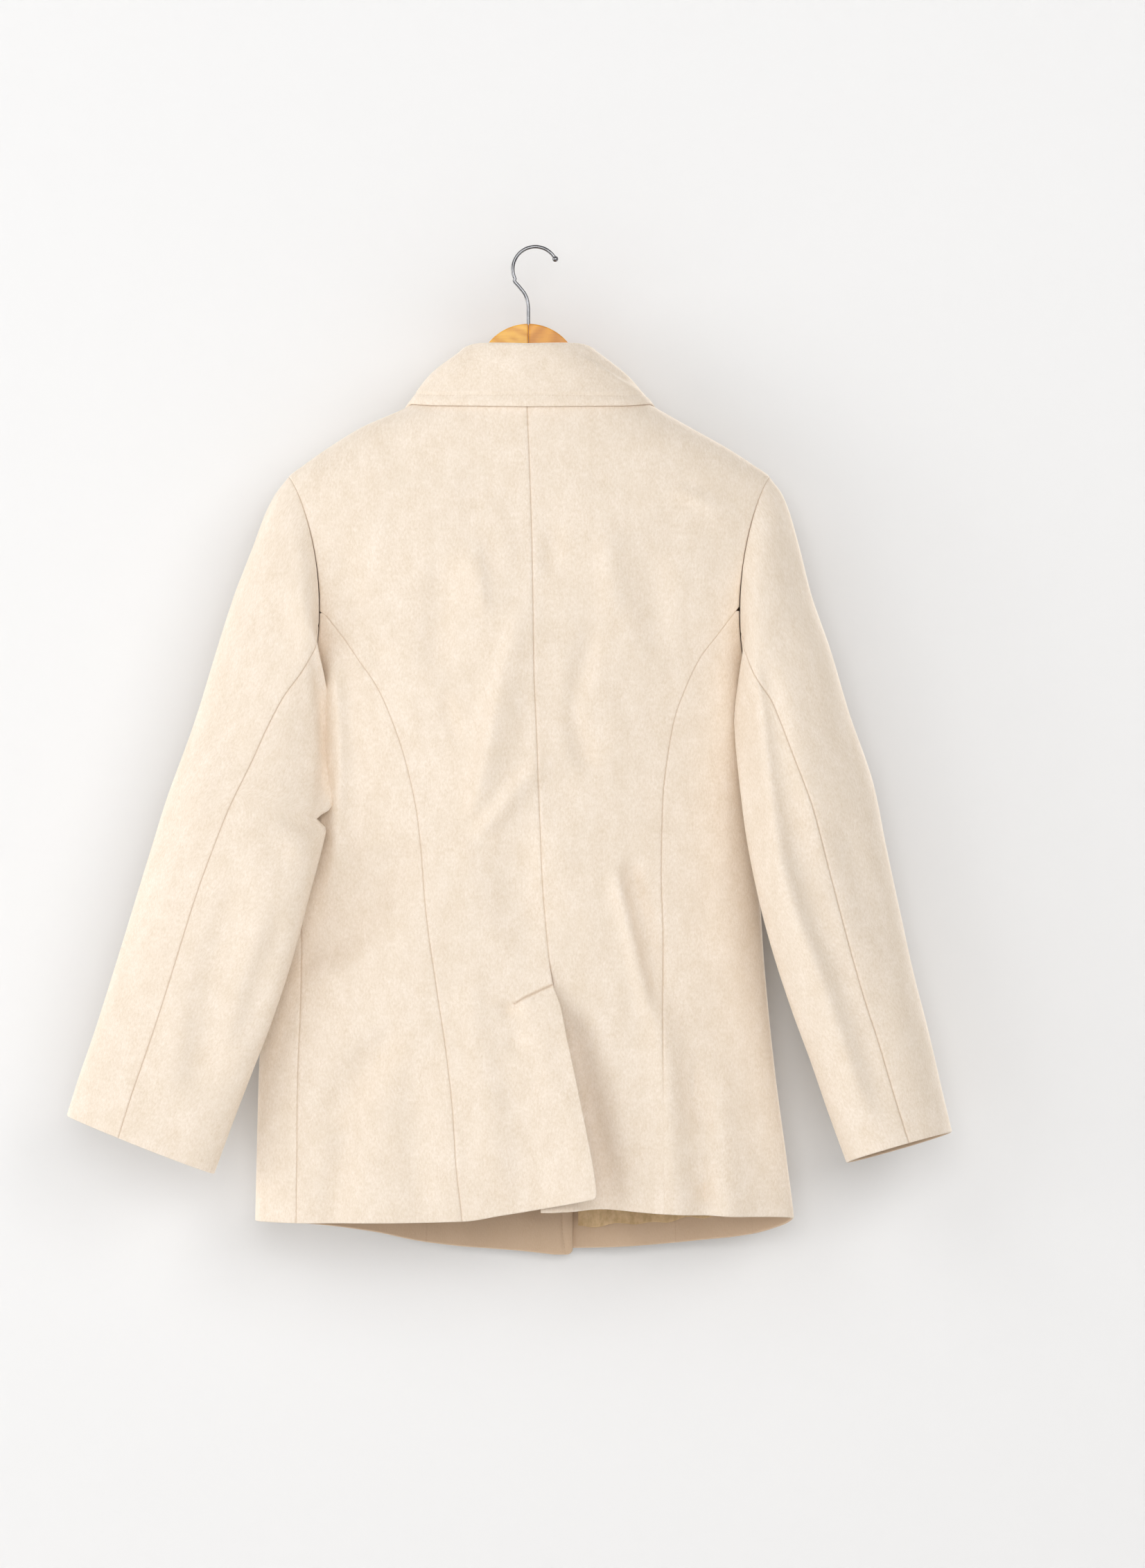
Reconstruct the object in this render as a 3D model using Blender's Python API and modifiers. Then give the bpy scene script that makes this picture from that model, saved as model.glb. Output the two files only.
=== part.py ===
"""Short wool coat on a wooden hanger, hung by the hanger's hook.

The origin is the point of the hook that bears on a rail. +Z is up, -Y is the back of the coat and +X is
the wearer's right. Every table and size below is in millimetres, and angles are in degrees; MM and
radians() turn them into scene units.
"""

import math

import bmesh
import bpy
import numpy as np
from mathutils import Vector

MM = 0.001
WELD = 0.00001      # metres, joins the points of one place

# ---------------------------------------------------------------- cloth and gaps
WALL = 2.4          # melton wool, one layer
LINING_WALL = 1.0   # satin lining with its interlining
GAP = 0.3           # between pieces that touch
SEAM_HALF = 0.2     # each side of a seam, measured along the row
LAYER_STEP = 3.4    # one layer over another: a wall, the gap and room for the facets

# ---------------------------------------------------------------- body of the coat
# Sections across the body: silhouette left and right, depth of the back and of the front from the
# middle plane, and how far the side edges lie towards the front.
BODY_COLUMNS = ("z", "left", "right", "back", "front", "edge")
BODY_SECTIONS = (
    (-930.0, -253.0, 236.5, 50.0, 53.0, 0.0),
    (-875.0, -252.0, 233.0, 49.0, 52.0, 0.0),
    (-825.0, -251.0, 227.0, 49.0, 52.0, 2.0),
    (-742.0, -249.0, 216.0, 50.0, 53.0, 5.0),
    (-640.0, -240.0, 206.0, 52.0, 54.0, 9.0),
    (-560.0, -226.0, 201.0, 54.0, 56.0, 11.0),
    (-494.0, -212.0, 196.0, 56.0, 58.0, 10.0),
    (-440.0, -205.0, 192.0, 59.0, 60.0, 6.0),
    (-380.0, -203.0, 191.0, 60.0, 61.0, 0.0),
    (-330.0, -222.0, 209.0, 59.0, 60.0, 0.0),
    (-290.0, -238.0, 225.0, 58.0, 58.0, 0.0),
    (-255.0, -241.0, 228.0, 56.0, 56.0, 0.0),
    (-225.0, -235.0, 223.0, 54.0, 54.0, 0.0),
    (-205.5, -222.0, 211.0, 52.0, 52.0, 0.0),
    (-195.5, -209.0, 197.0, 51.0, 51.0, 0.0),
    (-180.0, -187.0, 173.0, 50.0, 50.0, 0.0),
    (-161.5, -157.0, 140.0, 48.0, 48.0, 0.0),
    (-142.0, -113.5, 105.5, 46.0, 46.0, 0.0),
    (-128.0, -91.0, 80.0, 43.0, 43.0, 0.0),
    (-112.0, -72.0, 60.0, 41.0, 41.0, 0.0),
    (-100.0, -62.0, 50.0, 40.0, 40.0, 0.0),
)

NECK_SIDE_Z = -112.0
NECK_BACK_DROP = 9.0
NECK_FRONT_DROP = 56.0
NECK_FRONT_SHAPE = 4     # power of the cosine that scoops the front neckline
NECK_WARP_FROM = -205.5  # rows above this follow the neckline

HEM_Z = -875.0
HEM_WARP_FROM = -740.0   # rows below this follow the hem
HEM_COLUMNS = ("turn", "z")
LEFT_HEM = (
    (-186.0, -910.0), (-180.0, -907.0), (-166.0, -902.0), (-157.0, -897.5), (-147.0, -889.5),
    (-132.0, -882.0), (-110.0, -877.0), (-90.0, -875.0), (-57.0, -875.5), (-39.0, -874.8),
    (-12.7, -872.3), (-5.2, -867.4), (5.0, -860.0), (15.0, -852.0),
)
RIGHT_HEM = (
    (-8.0, -866.0), (5.0, -865.0), (16.0, -863.2), (30.0, -866.0), (47.0, -868.6), (90.0, -873.0),
    (108.0, -881.0), (122.0, -889.0), (140.0, -896.0), (156.0, -901.5), (168.0, -904.0), (186.0, -905.0),
)

# ---------------------------------------------------------------- seams
SEAM_COLUMNS = ("z", "x")
CENTRE_BACK = (
    (-910.0, 56.0), (-853.0, 55.0), (-836.0, 53.9), (-793.0, 46.5), (-750.0, 37.8), (-709.0, 29.1),
    (-679.5, 22.9), (-660.3, 16.1), (-624.0, 11.2), (-564.0, 6.2), (-512.0, 4.3), (-444.5, 1.9),
    (-383.0, -0.6), (-300.7, -1.9), (-228.8, -3.7), (-177.0, -5.6), (-146.0, -6.8), (-100.0, -7.0),
)
PRINCESS_BACK_LEFT = (
    (-930.0, -62.0), (-871.7, -65.1), (-820.0, -70.7), (-778.0, -73.2), (-726.0, -78.7), (-663.0, -88.0),
    (-590.0, -98.0), (-517.0, -104.2), (-465.0, -114.7), (-419.0, -130.2), (-393.0, -142.6),
    (-372.6, -156.9), (-352.2, -171.1), (-328.6, -189.7),
)
PRINCESS_BACK_RIGHT = (
    (-930.0, 115.5), (-866.0, 115.0), (-718.0, 114.1), (-611.0, 114.1), (-566.0, 112.8), (-499.7, 114.1),
    (-455.0, 119.0), (-422.2, 125.2), (-393.7, 135.8), (-369.5, 147.6), (-350.9, 161.8), (-326.7, 180.4),
)
CENTRE_FRONT = (
    (-930.0, 14.0), (-875.0, 14.0), (-660.0, 6.0), (-500.0, 0.0), (-330.0, -4.0), (-100.0, -6.0),
)
PRINCESS_FRONT_LEFT = (
    (-930.0, -100.0), (-875.0, -99.0), (-660.0, -98.0), (-500.0, -96.0), (-420.0, -106.0),
    (-370.0, -130.0), (-330.0, -186.0),
)
PRINCESS_FRONT_RIGHT = (
    (-930.0, 128.0), (-875.0, 127.0), (-660.0, 112.0), (-500.0, 96.0), (-420.0, 100.0),
    (-370.0, 120.0), (-330.0, 175.0),
)
SIDE_COLUMNS = ("z", "turn")
SIDE_LEFT = (
    (-930.0, -57.5), (-790.0, -57.6), (-705.0, -57.8), (-640.0, -60.0), (-500.0, -77.0), (-380.0, -90.0),
)
SIDE_RIGHT = (
    (-930.0, 122.0), (-790.0, 121.0), (-640.0, 114.0), (-500.0, 102.0), (-380.0, 90.0),
)
FRONT_OVERLAP = 20.0     # each front past the centre front line
FRONT_LAP_START = 36.0   # past the left front's edge, where the right front starts to climb onto it
FRONT_LAP_END = 8.0

# ---------------------------------------------------------------- back vent
VENT_TOP_Z = -660.3
VENT_UNDERLAP = 35.0
VENT_SLANT = 20.0        # drop of the slanted top of the underlap
VENT_SINK_ABOVE = 26.0   # height over which the right back sinks under the left one
VENT_SINK_WIDTH = 30.0
VENT_SINK_LEVEL = 6.0    # width beside the seam that is sunk in full
FLAP_LIFT_COLUMNS = ("z", "lift")
FLAP_LIFT = ((-900.0, 9.0), (-853.0, 9.0), (-800.0, 10.0), (-740.0, 8.0), (-690.0, 4.0), (-661.0, 0.3))
FLAP_LIFT_WIDTH = 85.0

# ---------------------------------------------------------------- rows and columns of the panels
ARMHOLE_TOP = -205.5
UNDERARM = -380.0
BACK_JOIN_LEFT = PRINCESS_BACK_LEFT[-1][0]
BACK_JOIN_RIGHT = PRINCESS_BACK_RIGHT[-1][0]
FRONT_JOIN = -330.0
TIP = 2.5                # a side panel ends this far below the join of its seams
ROW_STEP = 55.0
SHOULDER_ROWS = (-190.0, -166.0, -142.0, -128.0)
ARMHOLE_ROWS = (
    ARMHOLE_TOP, -209.0, -217.0, -232.0, -254.0, -280.0, -306.0, BACK_JOIN_LEFT - TIP,
    BACK_JOIN_RIGHT - TIP, FRONT_JOIN - TIP, -347.0, -361.0, -371.0, -377.5, UNDERARM,
)
VENT_ROWS = (VENT_TOP_Z, VENT_TOP_Z - 4.0, VENT_TOP_Z - 12.0, VENT_TOP_Z - VENT_SLANT)
PANEL_COLUMNS = {
    "back_left": 6, "back_right": 6, "back_side_left": 4, "back_side_right": 6, "front_side_left": 6,
    "front_side_right": 5, "front_left": 8, "front_right": 8, "lining_right": 10,
}
EDGE_ROUNDS = 4          # rounds that settle an edge's angle and its height on each other
EDGE_LEAN = 0.04         # least squared cosine at a seam, where the surface turns away
NORMAL_STEP = 0.02       # step that measures a surface's slope

# ---------------------------------------------------------------- largest folds of the body
# A fold is a soft ridge (height > 0) or trough (height < 0) along a line from top to bottom.
FOLD_COLUMNS = ("x_top", "z_top", "x_low", "z_low", "width", "height")
BODY_FOLDS = (
    (-25.0, -400.0, -53.0, -520.0, 34.0, 4.0),
    (0.0, -470.0, -62.0, -545.0, 30.0, 3.0),
    (84.0, -560.0, 100.0, -690.0, 30.0, -4.5),
    (-122.0, -545.0, -182.0, -618.0, 60.0, -4.0),
    (-128.0, -705.0, -190.0, -775.0, 52.0, -4.0),
    (142.0, -735.0, 150.0, -900.0, 40.0, -4.5),
    (-62.0, -220.0, -58.0, -370.0, 44.0, -2.5),
    (28.0, -270.0, 46.0, -460.0, 46.0, -2.5),
)

# ---------------------------------------------------------------- sleeves
# Rings along a sleeve: its outer and inner edge points, how far the back and front of the ring stand
# off the line between them, their sideways fullness, and the tilt of the ring's back upwards.
SLEEVE_COLUMNS = (
    "s", "ox", "oy", "oz", "ix", "iy", "iz", "back", "front", "back_full", "front_full", "tilt",
)
LEFT_SLEEVE = (
    (0.00, -222.0, 0.0, -205.5, -203.0, 0.0, -380.0, 36.0, 37.0, 18.0, 18.0, 0.0),
    (0.04, -240.0, 1.0, -232.0, -209.0, -2.0, -388.0, 42.0, 41.0, 22.0, 15.0, 0.0),
    (0.09, -254.0, 2.0, -268.0, -208.5, -10.0, -400.0, 45.0, 42.0, 30.0, 6.0, 0.0),
    (0.15, -271.0, 2.0, -312.0, -201.0, -24.0, -420.0, 46.0, 40.0, 35.0, -5.0, 0.0),
    (0.22, -287.0, 2.0, -362.0, -190.0, -38.0, -444.0, 44.0, 38.0, 28.0, -12.0, 0.0),
    (0.30, -306.0, 2.0, -424.0, -183.5, -47.0, -478.0, 41.0, 36.0, 10.0, -10.0, 0.0),
    (0.40, -332.0, 2.0, -496.0, -186.0, -48.0, -528.0, 38.0, 35.0, 0.0, -4.0, 0.0),
    (0.50, -349.0, 1.0, -551.0, -200.0, -46.0, -578.0, 37.0, 34.0, 0.0, 0.0, 0.0),
    (0.60, -367.0, 0.0, -610.0, -215.5, -43.0, -636.0, 36.0, 33.0, 0.0, 0.0, 0.0),
    (0.70, -383.5, -2.0, -664.0, -236.0, -40.0, -698.0, 34.0, 31.0, 0.0, 0.0, 0.0),
    (0.80, -397.0, -4.0, -707.0, -254.5, -37.0, -745.0, 31.0, 29.0, 0.0, 0.0, 0.0),
    (0.90, -410.0, -6.0, -745.0, -271.5, -34.0, -789.0, 28.0, 26.0, 0.0, 0.0, 0.0),
    (1.00, -421.0, -8.0, -780.0, -287.0, -30.0, -831.0, 25.0, 24.0, 0.0, 0.0, 0.0),
)
RIGHT_SLEEVE = (
    (0.00, 211.0, 0.0, -206.0, 191.0, 0.0, -380.0, 36.0, 37.0, -16.0, -18.0, 0.0),
    (0.04, 226.0, 1.0, -230.0, 198.0, -2.0, -388.0, 42.0, 41.0, -21.0, -15.0, 0.0),
    (0.09, 237.0, 2.0, -266.0, 196.5, -10.0, -400.0, 45.0, 43.0, -26.0, -6.0, 0.0),
    (0.15, 249.0, 2.0, -313.0, 188.0, -24.0, -420.0, 47.0, 43.0, -20.0, 5.0, 0.0),
    (0.22, 264.7, 2.0, -358.0, 183.0, -37.0, -443.0, 46.0, 43.0, -8.0, 10.0, 0.0),
    (0.30, 282.0, 2.0, -416.0, 183.5, -46.0, -476.0, 45.0, 42.0, 0.0, 8.0, 0.0),
    (0.40, 305.0, 2.0, -484.0, 188.0, -48.0, -526.0, 44.0, 41.0, 0.0, 4.0, 0.0),
    (0.50, 316.0, 1.0, -539.0, 197.5, -46.0, -576.0, 43.0, 40.0, 0.0, 0.0, 0.0),
    (0.60, 329.0, 0.0, -600.0, 210.0, -43.0, -625.0, 42.0, 40.0, 0.0, 0.0, 0.0),
    (0.70, 341.0, -2.0, -655.0, 228.0, -40.0, -681.0, 41.0, 39.0, 0.0, 0.0, 0.0),
    (0.80, 353.0, -4.0, -702.0, 245.0, -37.0, -727.0, 40.0, 38.0, 0.0, 0.0, 1.0),
    (0.90, 364.0, -6.0, -750.0, 262.0, -34.0, -776.0, 39.0, 37.0, 0.0, 0.0, 2.5),
    (1.00, 374.5, -8.0, -795.0, 278.5, -30.0, -821.0, 38.0, 36.0, 0.0, 0.0, 4.5),
)
SLEEVE_SEAM_COLUMNS = ("s", "back", "under")
LEFT_SLEEVE_SEAMS = ((0.0, 122.0, 232.0), (0.14, 108.0, 232.0), (0.3, 86.0, 232.0), (0.42, 77.0, 232.0),
                     (0.6, 72.5, 232.0), (1.0, 74.0, 232.0))
RIGHT_SLEEVE_SEAMS = ((0.0, 128.0, 232.0), (0.14, 112.0, 232.0), (0.3, 96.0, 232.0), (0.42, 88.0, 232.0),
                      (0.6, 84.0, 232.0), (1.0, 82.0, 232.0))
ARMHOLE_INSET = 1.7      # the sleeve's first ring inside the armhole
ARMHOLE_BLEND = 0.07     # part of the sleeve that leaves the body's surface
RING_SHAPE = 1.6         # power of the sine that spreads a ring's sideways fullness
STATIONS = (0.0, 2.0, 4.5, 8.0, 12.0, 17.0, 24.0, 33.0, 43.0, 55.0, 70.0, 85.0, 100.0)
TOP_SLEEVE_COLUMNS = 11
UNDER_SLEEVE_COLUMNS = 8
SLEEVE_SEAM_HALF = 0.9   # each side of a sleeve seam, in degrees round the ring

# ---------------------------------------------------------------- collar
# Round the neck by angle: where the fold runs, and the point of the body that the outer edge lies over,
# with the rise of the edge's outer face above the coat.
COLLAR_COLUMNS = ("turn", "fold_half", "fold_depth", "fold_z", "edge_turn", "edge_z", "rise")
COLLAR = (
    (0.0, 60.0, 44.0, -92.5, 0.0, -146.0, 4.2),
    (45.0, 60.0, 44.0, -92.5, 45.0, -145.0, 4.2),
    (90.0, 60.0, 45.0, -100.0, 90.0, -140.0, 4.6),
    (108.0, 60.0, 47.0, -107.0, 131.0, -160.0, 5.0),
    (128.0, 59.0, 50.0, -118.0, 152.0, -185.0, 7.0),
    (152.0, 56.0, 53.0, -137.0, 161.0, -210.0, 7.5),
    (177.0, 54.0, 54.0, -155.0, 167.5, -228.0, 7.5),
)
COLLAR_CENTRE_X = -6.2
COLLAR_ROLL = 4.5        # outer radius of the rolled fold
COLLAR_BELLY = 3.5
COLLAR_FRONT_TURN = 176.5
COLLAR_HALF_TURNS = (
    10.0, 20.0, 30.0, 40.0, 50.0, 60.0, 70.0, 78.0, 84.0, 90.0, 96.0, 103.0, 112.0, 122.0, 133.0, 145.0,
    156.0, 167.0, COLLAR_FRONT_TURN,
)
COLLAR_ROLL_END = 30.0   # the rolled fold ends at this part of the way down, of 100
COLLAR_ROLL_SWEEP = 150.0
COLLAR_FALL_ROWS = (0.5, 10.0, 20.0, 30.0, 52.0, 76.0, 100.0)
COLLAR_STAND_ROWS = (0.0, 50.0, 100.0)
STAND_TUCK = 1.0         # top of the stand below the start of the roll
STAND_FOOT = 2.0         # foot of the stand above the neck edge

# ---------------------------------------------------------------- buttons
BUTTON_ZS = (-205.0, -345.0, -485.0, -625.0)
BUTTON_RADIUS = 13.0
BUTTON_THICK = 4.2
BUTTON_RIM = 2.6
BUTTON_DISH = 1.2        # depth of the dished middle
BUTTON_EDGE = 1.0        # slope on both sides of the rim
BUTTON_UNDERCUT = 2.5
BUTTON_EDGE_Z = 1.6      # top of the undercut
BUTTON_SIDES = 20
BUTTON_REST = 0.6        # below the button, clear of the curve of the front

# ---------------------------------------------------------------- lining of the right front
LINING_TOP_Z = -400.0
LINING_ABOVE_HEM = 23.0
LINING_START_PAST_CENTRE = 30.0
LINING_SINK = 3.9        # outer face of the lining below the coat's outer face

# ---------------------------------------------------------------- hanger
HANGER_X = -6.2
HANGER_APEX_Z = -68.2
HANGER_ARC_R = 46.0
HANGER_ARC_END = 36.0
HANGER_THICK = 13.0
HANGER_BEVEL = 3.2
HANGER_REACH = 205.0
HANGER_SEAT = 5.0        # top edge below the coat's shoulder line
HANGER_SHOULDER = (52.0, -105.0)  # between the arc of the top and the arms
HANGER_ARM_FROM = 68.0
HANGER_TIP = 5.0         # height of the rounded tip
HANGER_STEPS = 9
HANGER_COLUMNS = ("u", "z")
HANGER_LOWER = ((0.0, -127.0), (40.0, -133.0), (85.0, -151.0), (140.0, -183.0), (190.0, -214.0))
HANGER_END_Z = -212.0
BORE_LENGTH = 60.0

# ---------------------------------------------------------------- hook
WIRE_R = 1.6
HOOK_R = 18.6            # inner radius of the hook, which bears on the rail at the origin
HOOK_FOOT_Z = -93.0
HOOK_BORE_R = 1.9
BALL_R = 2.7
HOOK_TIP_ANGLE = 27.0
HOOK_NECK_ANGLE = 205.0  # where the bow runs out into the neck
HOOK_STEPS = 18
HOOK_NECK = ((-19.2, -28.0), (-14.3, -34.6), (-9.2, -41.4), (-7.0, -47.5), (-6.2, -55.0), (-6.2, -66.0))

WOOL = (0.80, 0.69, 0.55, 1.0)
SATIN = (0.55, 0.38, 0.20, 1.0)
BUTTON_HORN = (0.36, 0.25, 0.16, 1.0)
WOOD = (0.78, 0.45, 0.16, 1.0)
CHROME = (0.80, 0.80, 0.82, 1.0)


# ================================================================ curves and tables
def smooth_curve(xs, ys):
    """Return a smooth function through the points that doesn't overshoot them."""
    order = np.argsort(xs)
    xs = np.asarray(xs, float)[order]
    ys = np.asarray(ys, float)[order]
    steps = np.diff(xs)
    slopes = np.diff(ys) / steps
    tangents = np.empty_like(ys)
    tangents[0], tangents[-1] = slopes[0], slopes[-1]
    for i in range(1, len(xs) - 1):
        before, after = slopes[i - 1], slopes[i]
        if before * after <= 0:
            tangents[i] = 0.0
            continue
        w_before = 2 * steps[i] + steps[i - 1]
        w_after = steps[i] + 2 * steps[i - 1]
        tangents[i] = (w_before + w_after) / (w_before / before + w_after / after)

    def value(x):
        x = np.clip(np.asarray(x, float), xs[0], xs[-1])
        i = np.clip(np.searchsorted(xs, x) - 1, 0, len(xs) - 2)
        t = (x - xs[i]) / steps[i]
        h00 = (1 + 2 * t) * (1 - t) ** 2
        h10 = t * (1 - t) ** 2
        h01 = t * t * (3 - 2 * t)
        h11 = t * t * (t - 1)
        return h00 * ys[i] + h10 * steps[i] * tangents[i] + h01 * ys[i + 1] + h11 * steps[i] * tangents[i + 1]

    return value


def curves_of(columns, rows):
    """Return one smooth curve for each column of a table, against its first column."""
    data = np.array(rows, float)
    return {name: smooth_curve(data[:, 0], data[:, k + 1]) for k, name in enumerate(columns[1:])}


def smoothstep(value, start, end):
    """Rise from 0 at start to 1 at end."""
    t = np.clip((np.asarray(value, float) - start) / (end - start), 0.0, 1.0)
    return t * t * (3 - 2 * t)


BODY = curves_of(BODY_COLUMNS, BODY_SECTIONS)
LEFT_HEM_Z = curves_of(HEM_COLUMNS, LEFT_HEM)["z"]
RIGHT_HEM_Z = curves_of(HEM_COLUMNS, RIGHT_HEM)["z"]
CENTRE_BACK_X = curves_of(SEAM_COLUMNS, CENTRE_BACK)["x"]
CENTRE_FRONT_X = curves_of(SEAM_COLUMNS, CENTRE_FRONT)["x"]
FLAP_LIFT_AT = curves_of(FLAP_LIFT_COLUMNS, FLAP_LIFT)["lift"]
COLLAR_AT = curves_of(COLLAR_COLUMNS, COLLAR)


# ================================================================ surfaces
def half_and_middle(z):
    """Half width and middle of the body's section at a height."""
    left, right = BODY["left"](z), BODY["right"](z)
    return (right - left) / 2, (right + left) / 2


def fold_height(x, z, back):
    """Height of the largest folds, which lie on the back."""
    total = np.zeros(np.broadcast(x, z).shape)
    for x_top, z_top, x_low, z_low, width, height in BODY_FOLDS:
        along = np.array((x_low - x_top, z_low - z_top))
        length = math.hypot(*along)
        along = along / length
        s = (x - x_top) * along[0] + (z - z_top) * along[1]
        across = (x - x_top) * along[1] - (z - z_top) * along[0]
        ends = smoothstep(s, -0.2 * length, 0.35 * length) * smoothstep(s, 1.2 * length, 0.65 * length)
        total = total + height * ends * np.exp(-(2 * across / width) ** 2)
    return total * back


def body_surface(turn, z):
    """Point of the coat's outer face at an angle round it (0 is the back, -90 the left) and a height."""
    turn = np.radians(turn)
    half, middle = half_and_middle(z)
    s, c = np.sin(turn), np.cos(turn)
    x = middle + half * s
    depth = np.where(c > 0, BODY["back"](z), BODY["front"](z))
    back = smoothstep(c, 0.0, 0.35)
    y = -c * depth + BODY["edge"](z) * s * s - fold_height(x, z, back)
    return np.stack(np.broadcast_arrays(x, y, z), axis=-1)


def normals_of(surface, a, b):
    """Unit normals of a surface of two parameters, by small steps."""
    along_a = surface(a + NORMAL_STEP, b) - surface(a - NORMAL_STEP, b)
    along_b = surface(a, b + NORMAL_STEP) - surface(a, b - NORMAL_STEP)
    normal = np.cross(along_a, along_b)
    return normal / np.linalg.norm(normal, axis=-1, keepdims=True)


def back_turn(x, z):
    """Angle round the body of a point of its back."""
    half, middle = half_and_middle(z)
    return np.degrees(np.arcsin(np.clip((x - middle) / half, -1, 1)))


def front_turn(x, z, side):
    """Angle of a point of the front, counted from the back over the left (-1) or right (+1) side."""
    return side * 180.0 - back_turn(x, z)


def armhole_x(ring, z, front):
    """Across position of an armhole's back or front edge at a height."""
    ox, oz, ix, iz = ring[1], ring[3], ring[4], ring[6]
    cosine = np.clip((z - (oz + iz) / 2) / ((oz - iz) / 2), -1, 1)
    fullness = ring[10] if front else ring[9]
    return (ox + ix) / 2 + (ox - ix) / 2 * cosine + fullness * (1 - cosine ** 2) ** (RING_SHAPE / 2)


def neck_z(turn):
    """Height of the neck seam round the body."""
    c = np.cos(np.radians(turn))
    back = NECK_BACK_DROP * np.maximum(c, 0)
    front = NECK_FRONT_DROP * np.maximum(-c, 0) ** NECK_FRONT_SHAPE
    return NECK_SIDE_Z - back - front


def warped_z(turn, level, hem):
    """Height of a row at an angle: level rows, but for the ones near the hem and the neck."""
    near_hem = smoothstep(level, HEM_WARP_FROM, HEM_Z)
    near_neck = smoothstep(level, NECK_WARP_FROM, NECK_SIDE_Z)
    return level + (hem(turn) - HEM_Z) * near_hem + (neck_z(turn) - NECK_SIDE_Z) * near_neck


# ================================================================ meshes
def wall_mesh(name, outer, inner):
    """A closed wall between two grids of points (rows, columns, 3) in millimetres."""
    rows, columns = outer.shape[:2]
    points = np.concatenate((outer.reshape(-1, 3), inner.reshape(-1, 3))) * MM
    shift = rows * columns

    def at(i, j):
        return i * columns + j

    faces = []
    for i in range(rows - 1):
        for j in range(columns - 1):
            quad = (at(i, j), at(i, j + 1), at(i + 1, j + 1), at(i + 1, j))
            faces.append(quad)
            faces.append(tuple(v + shift for v in reversed(quad)))
    rim = [at(0, j) for j in range(columns)]
    rim += [at(i, columns - 1) for i in range(1, rows)]
    rim += [at(rows - 1, j) for j in range(columns - 2, -1, -1)]
    rim += [at(i, 0) for i in range(rows - 2, 0, -1)]
    for a, b in zip(rim, rim[1:] + rim[:1]):
        faces.append((b, a, a + shift, b + shift))
    mesh = bpy.data.meshes.new(name)
    mesh.from_pydata(points.tolist(), [], faces)
    mesh.update()
    tidy = bmesh.new()
    tidy.from_mesh(mesh)
    bmesh.ops.recalc_face_normals(tidy, faces=tidy.faces)
    tidy.to_mesh(mesh)
    tidy.free()
    return mesh


def material(name, colour, roughness, metallic=0.0):
    made = bpy.data.materials.new(name)
    made.use_nodes = True
    shader = made.node_tree.nodes["Principled BSDF"]
    shader.inputs["Base Color"].default_value = colour
    shader.inputs["Roughness"].default_value = roughness
    shader.inputs["Metallic"].default_value = metallic
    return made


def place(collection, name, mesh, finish):
    made = bpy.data.objects.new(name, mesh)
    mesh.materials.clear()
    mesh.materials.append(finish)
    mesh.shade_smooth()
    mesh.set_sharp_from_angle(angle=math.radians(50))
    collection.objects.link(made)
    return made


def panel(name, levels, left, right, hem, lift=None, sink=0.0, wall=WALL):
    """A panel of the body between two edges, each an angle as a function of height.

    lift raises the panel's outer face off the body's surface, and sink lowers all of it.
    """
    levels = np.asarray(levels, float)[:, None]
    across = np.linspace(0.0, 1.0, PANEL_COLUMNS[name] + 1)[None, :]
    turn_left, turn_right = left(levels), right(levels)
    for _ in range(EDGE_ROUNDS):
        turn_left = left(warped_z(turn_left, levels, hem))
        turn_right = right(warped_z(turn_right, levels, hem))
    seam = np.degrees(SEAM_HALF / half_and_middle(levels)[0])
    left_step = seam / np.sqrt(np.maximum(np.cos(np.radians(turn_left)) ** 2, EDGE_LEAN))
    right_step = seam / np.sqrt(np.maximum(np.cos(np.radians(turn_right)) ** 2, EDGE_LEAN))
    turn = (turn_left + left_step) * (1 - across) + (turn_right - right_step) * across
    z = warped_z(turn, levels + 0 * across, hem)
    outward = normals_of(body_surface, turn, z)
    outer = body_surface(turn, z)
    raised = -sink * np.ones_like(turn)
    if lift is not None:
        raised = raised + lift(turn, z, outer[..., 0])
    outer = outer + outward * raised[..., None]
    return wall_mesh(name, outer, outer - outward * wall)


def levels_between(low, high, step, also=()):
    """Row heights from low to high, about a step apart, with the named heights among them."""
    marks = sorted({low, high, *(m for m in also if low < m < high)})
    levels = [marks[0]]
    for a, b in zip(marks, marks[1:]):
        count = max(1, round((b - a) / step))
        levels += [a + (b - a) * (k + 1) / count for k in range(count)]
    return levels


# ================================================================ body panels
def seam_turn(rows, turn_at):
    """The angle of a seam that is given by its position across."""
    x_of = curves_of(SEAM_COLUMNS, rows)["x"]
    return lambda z: turn_at(x_of(z), z)


def outer_edge(seam, join, ring, side, front):
    """Edge of a centre panel: princess seam, armhole, then the shoulder line."""
    def turn(z):
        x = armhole_x(ring, z, front)
        arm = front_turn(x, z, side) if front else back_turn(x, z)
        shoulder = side * 90.0
        return np.where(z > ARMHOLE_TOP - 0.01, shoulder, np.where(z > join, arm, seam(z)))
    return turn


def side_edge(seam, ring, side, front):
    """Edge of a side panel: side seam, then the armhole's lower bend."""
    def turn(z):
        x = armhole_x(ring, z, front)
        arm = front_turn(x, z, side) if front else back_turn(x, z)
        return np.where(z > UNDERARM + 0.01, arm, seam(z))
    return turn


def vent_underlap(z):
    """How far the right back reaches under the left one."""
    return VENT_UNDERLAP * smoothstep(z, VENT_TOP_Z - 2, VENT_TOP_Z - VENT_SLANT)


def flap_lift(turn, z, x):
    """The left back laps over the vent, and its free edge stands off."""
    near = smoothstep(x, CENTRE_BACK_X(z) - FLAP_LIFT_WIDTH, CENTRE_BACK_X(z))
    return np.where(z < VENT_TOP_Z + 1, FLAP_LIFT_AT(z), 0.0) * near


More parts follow.
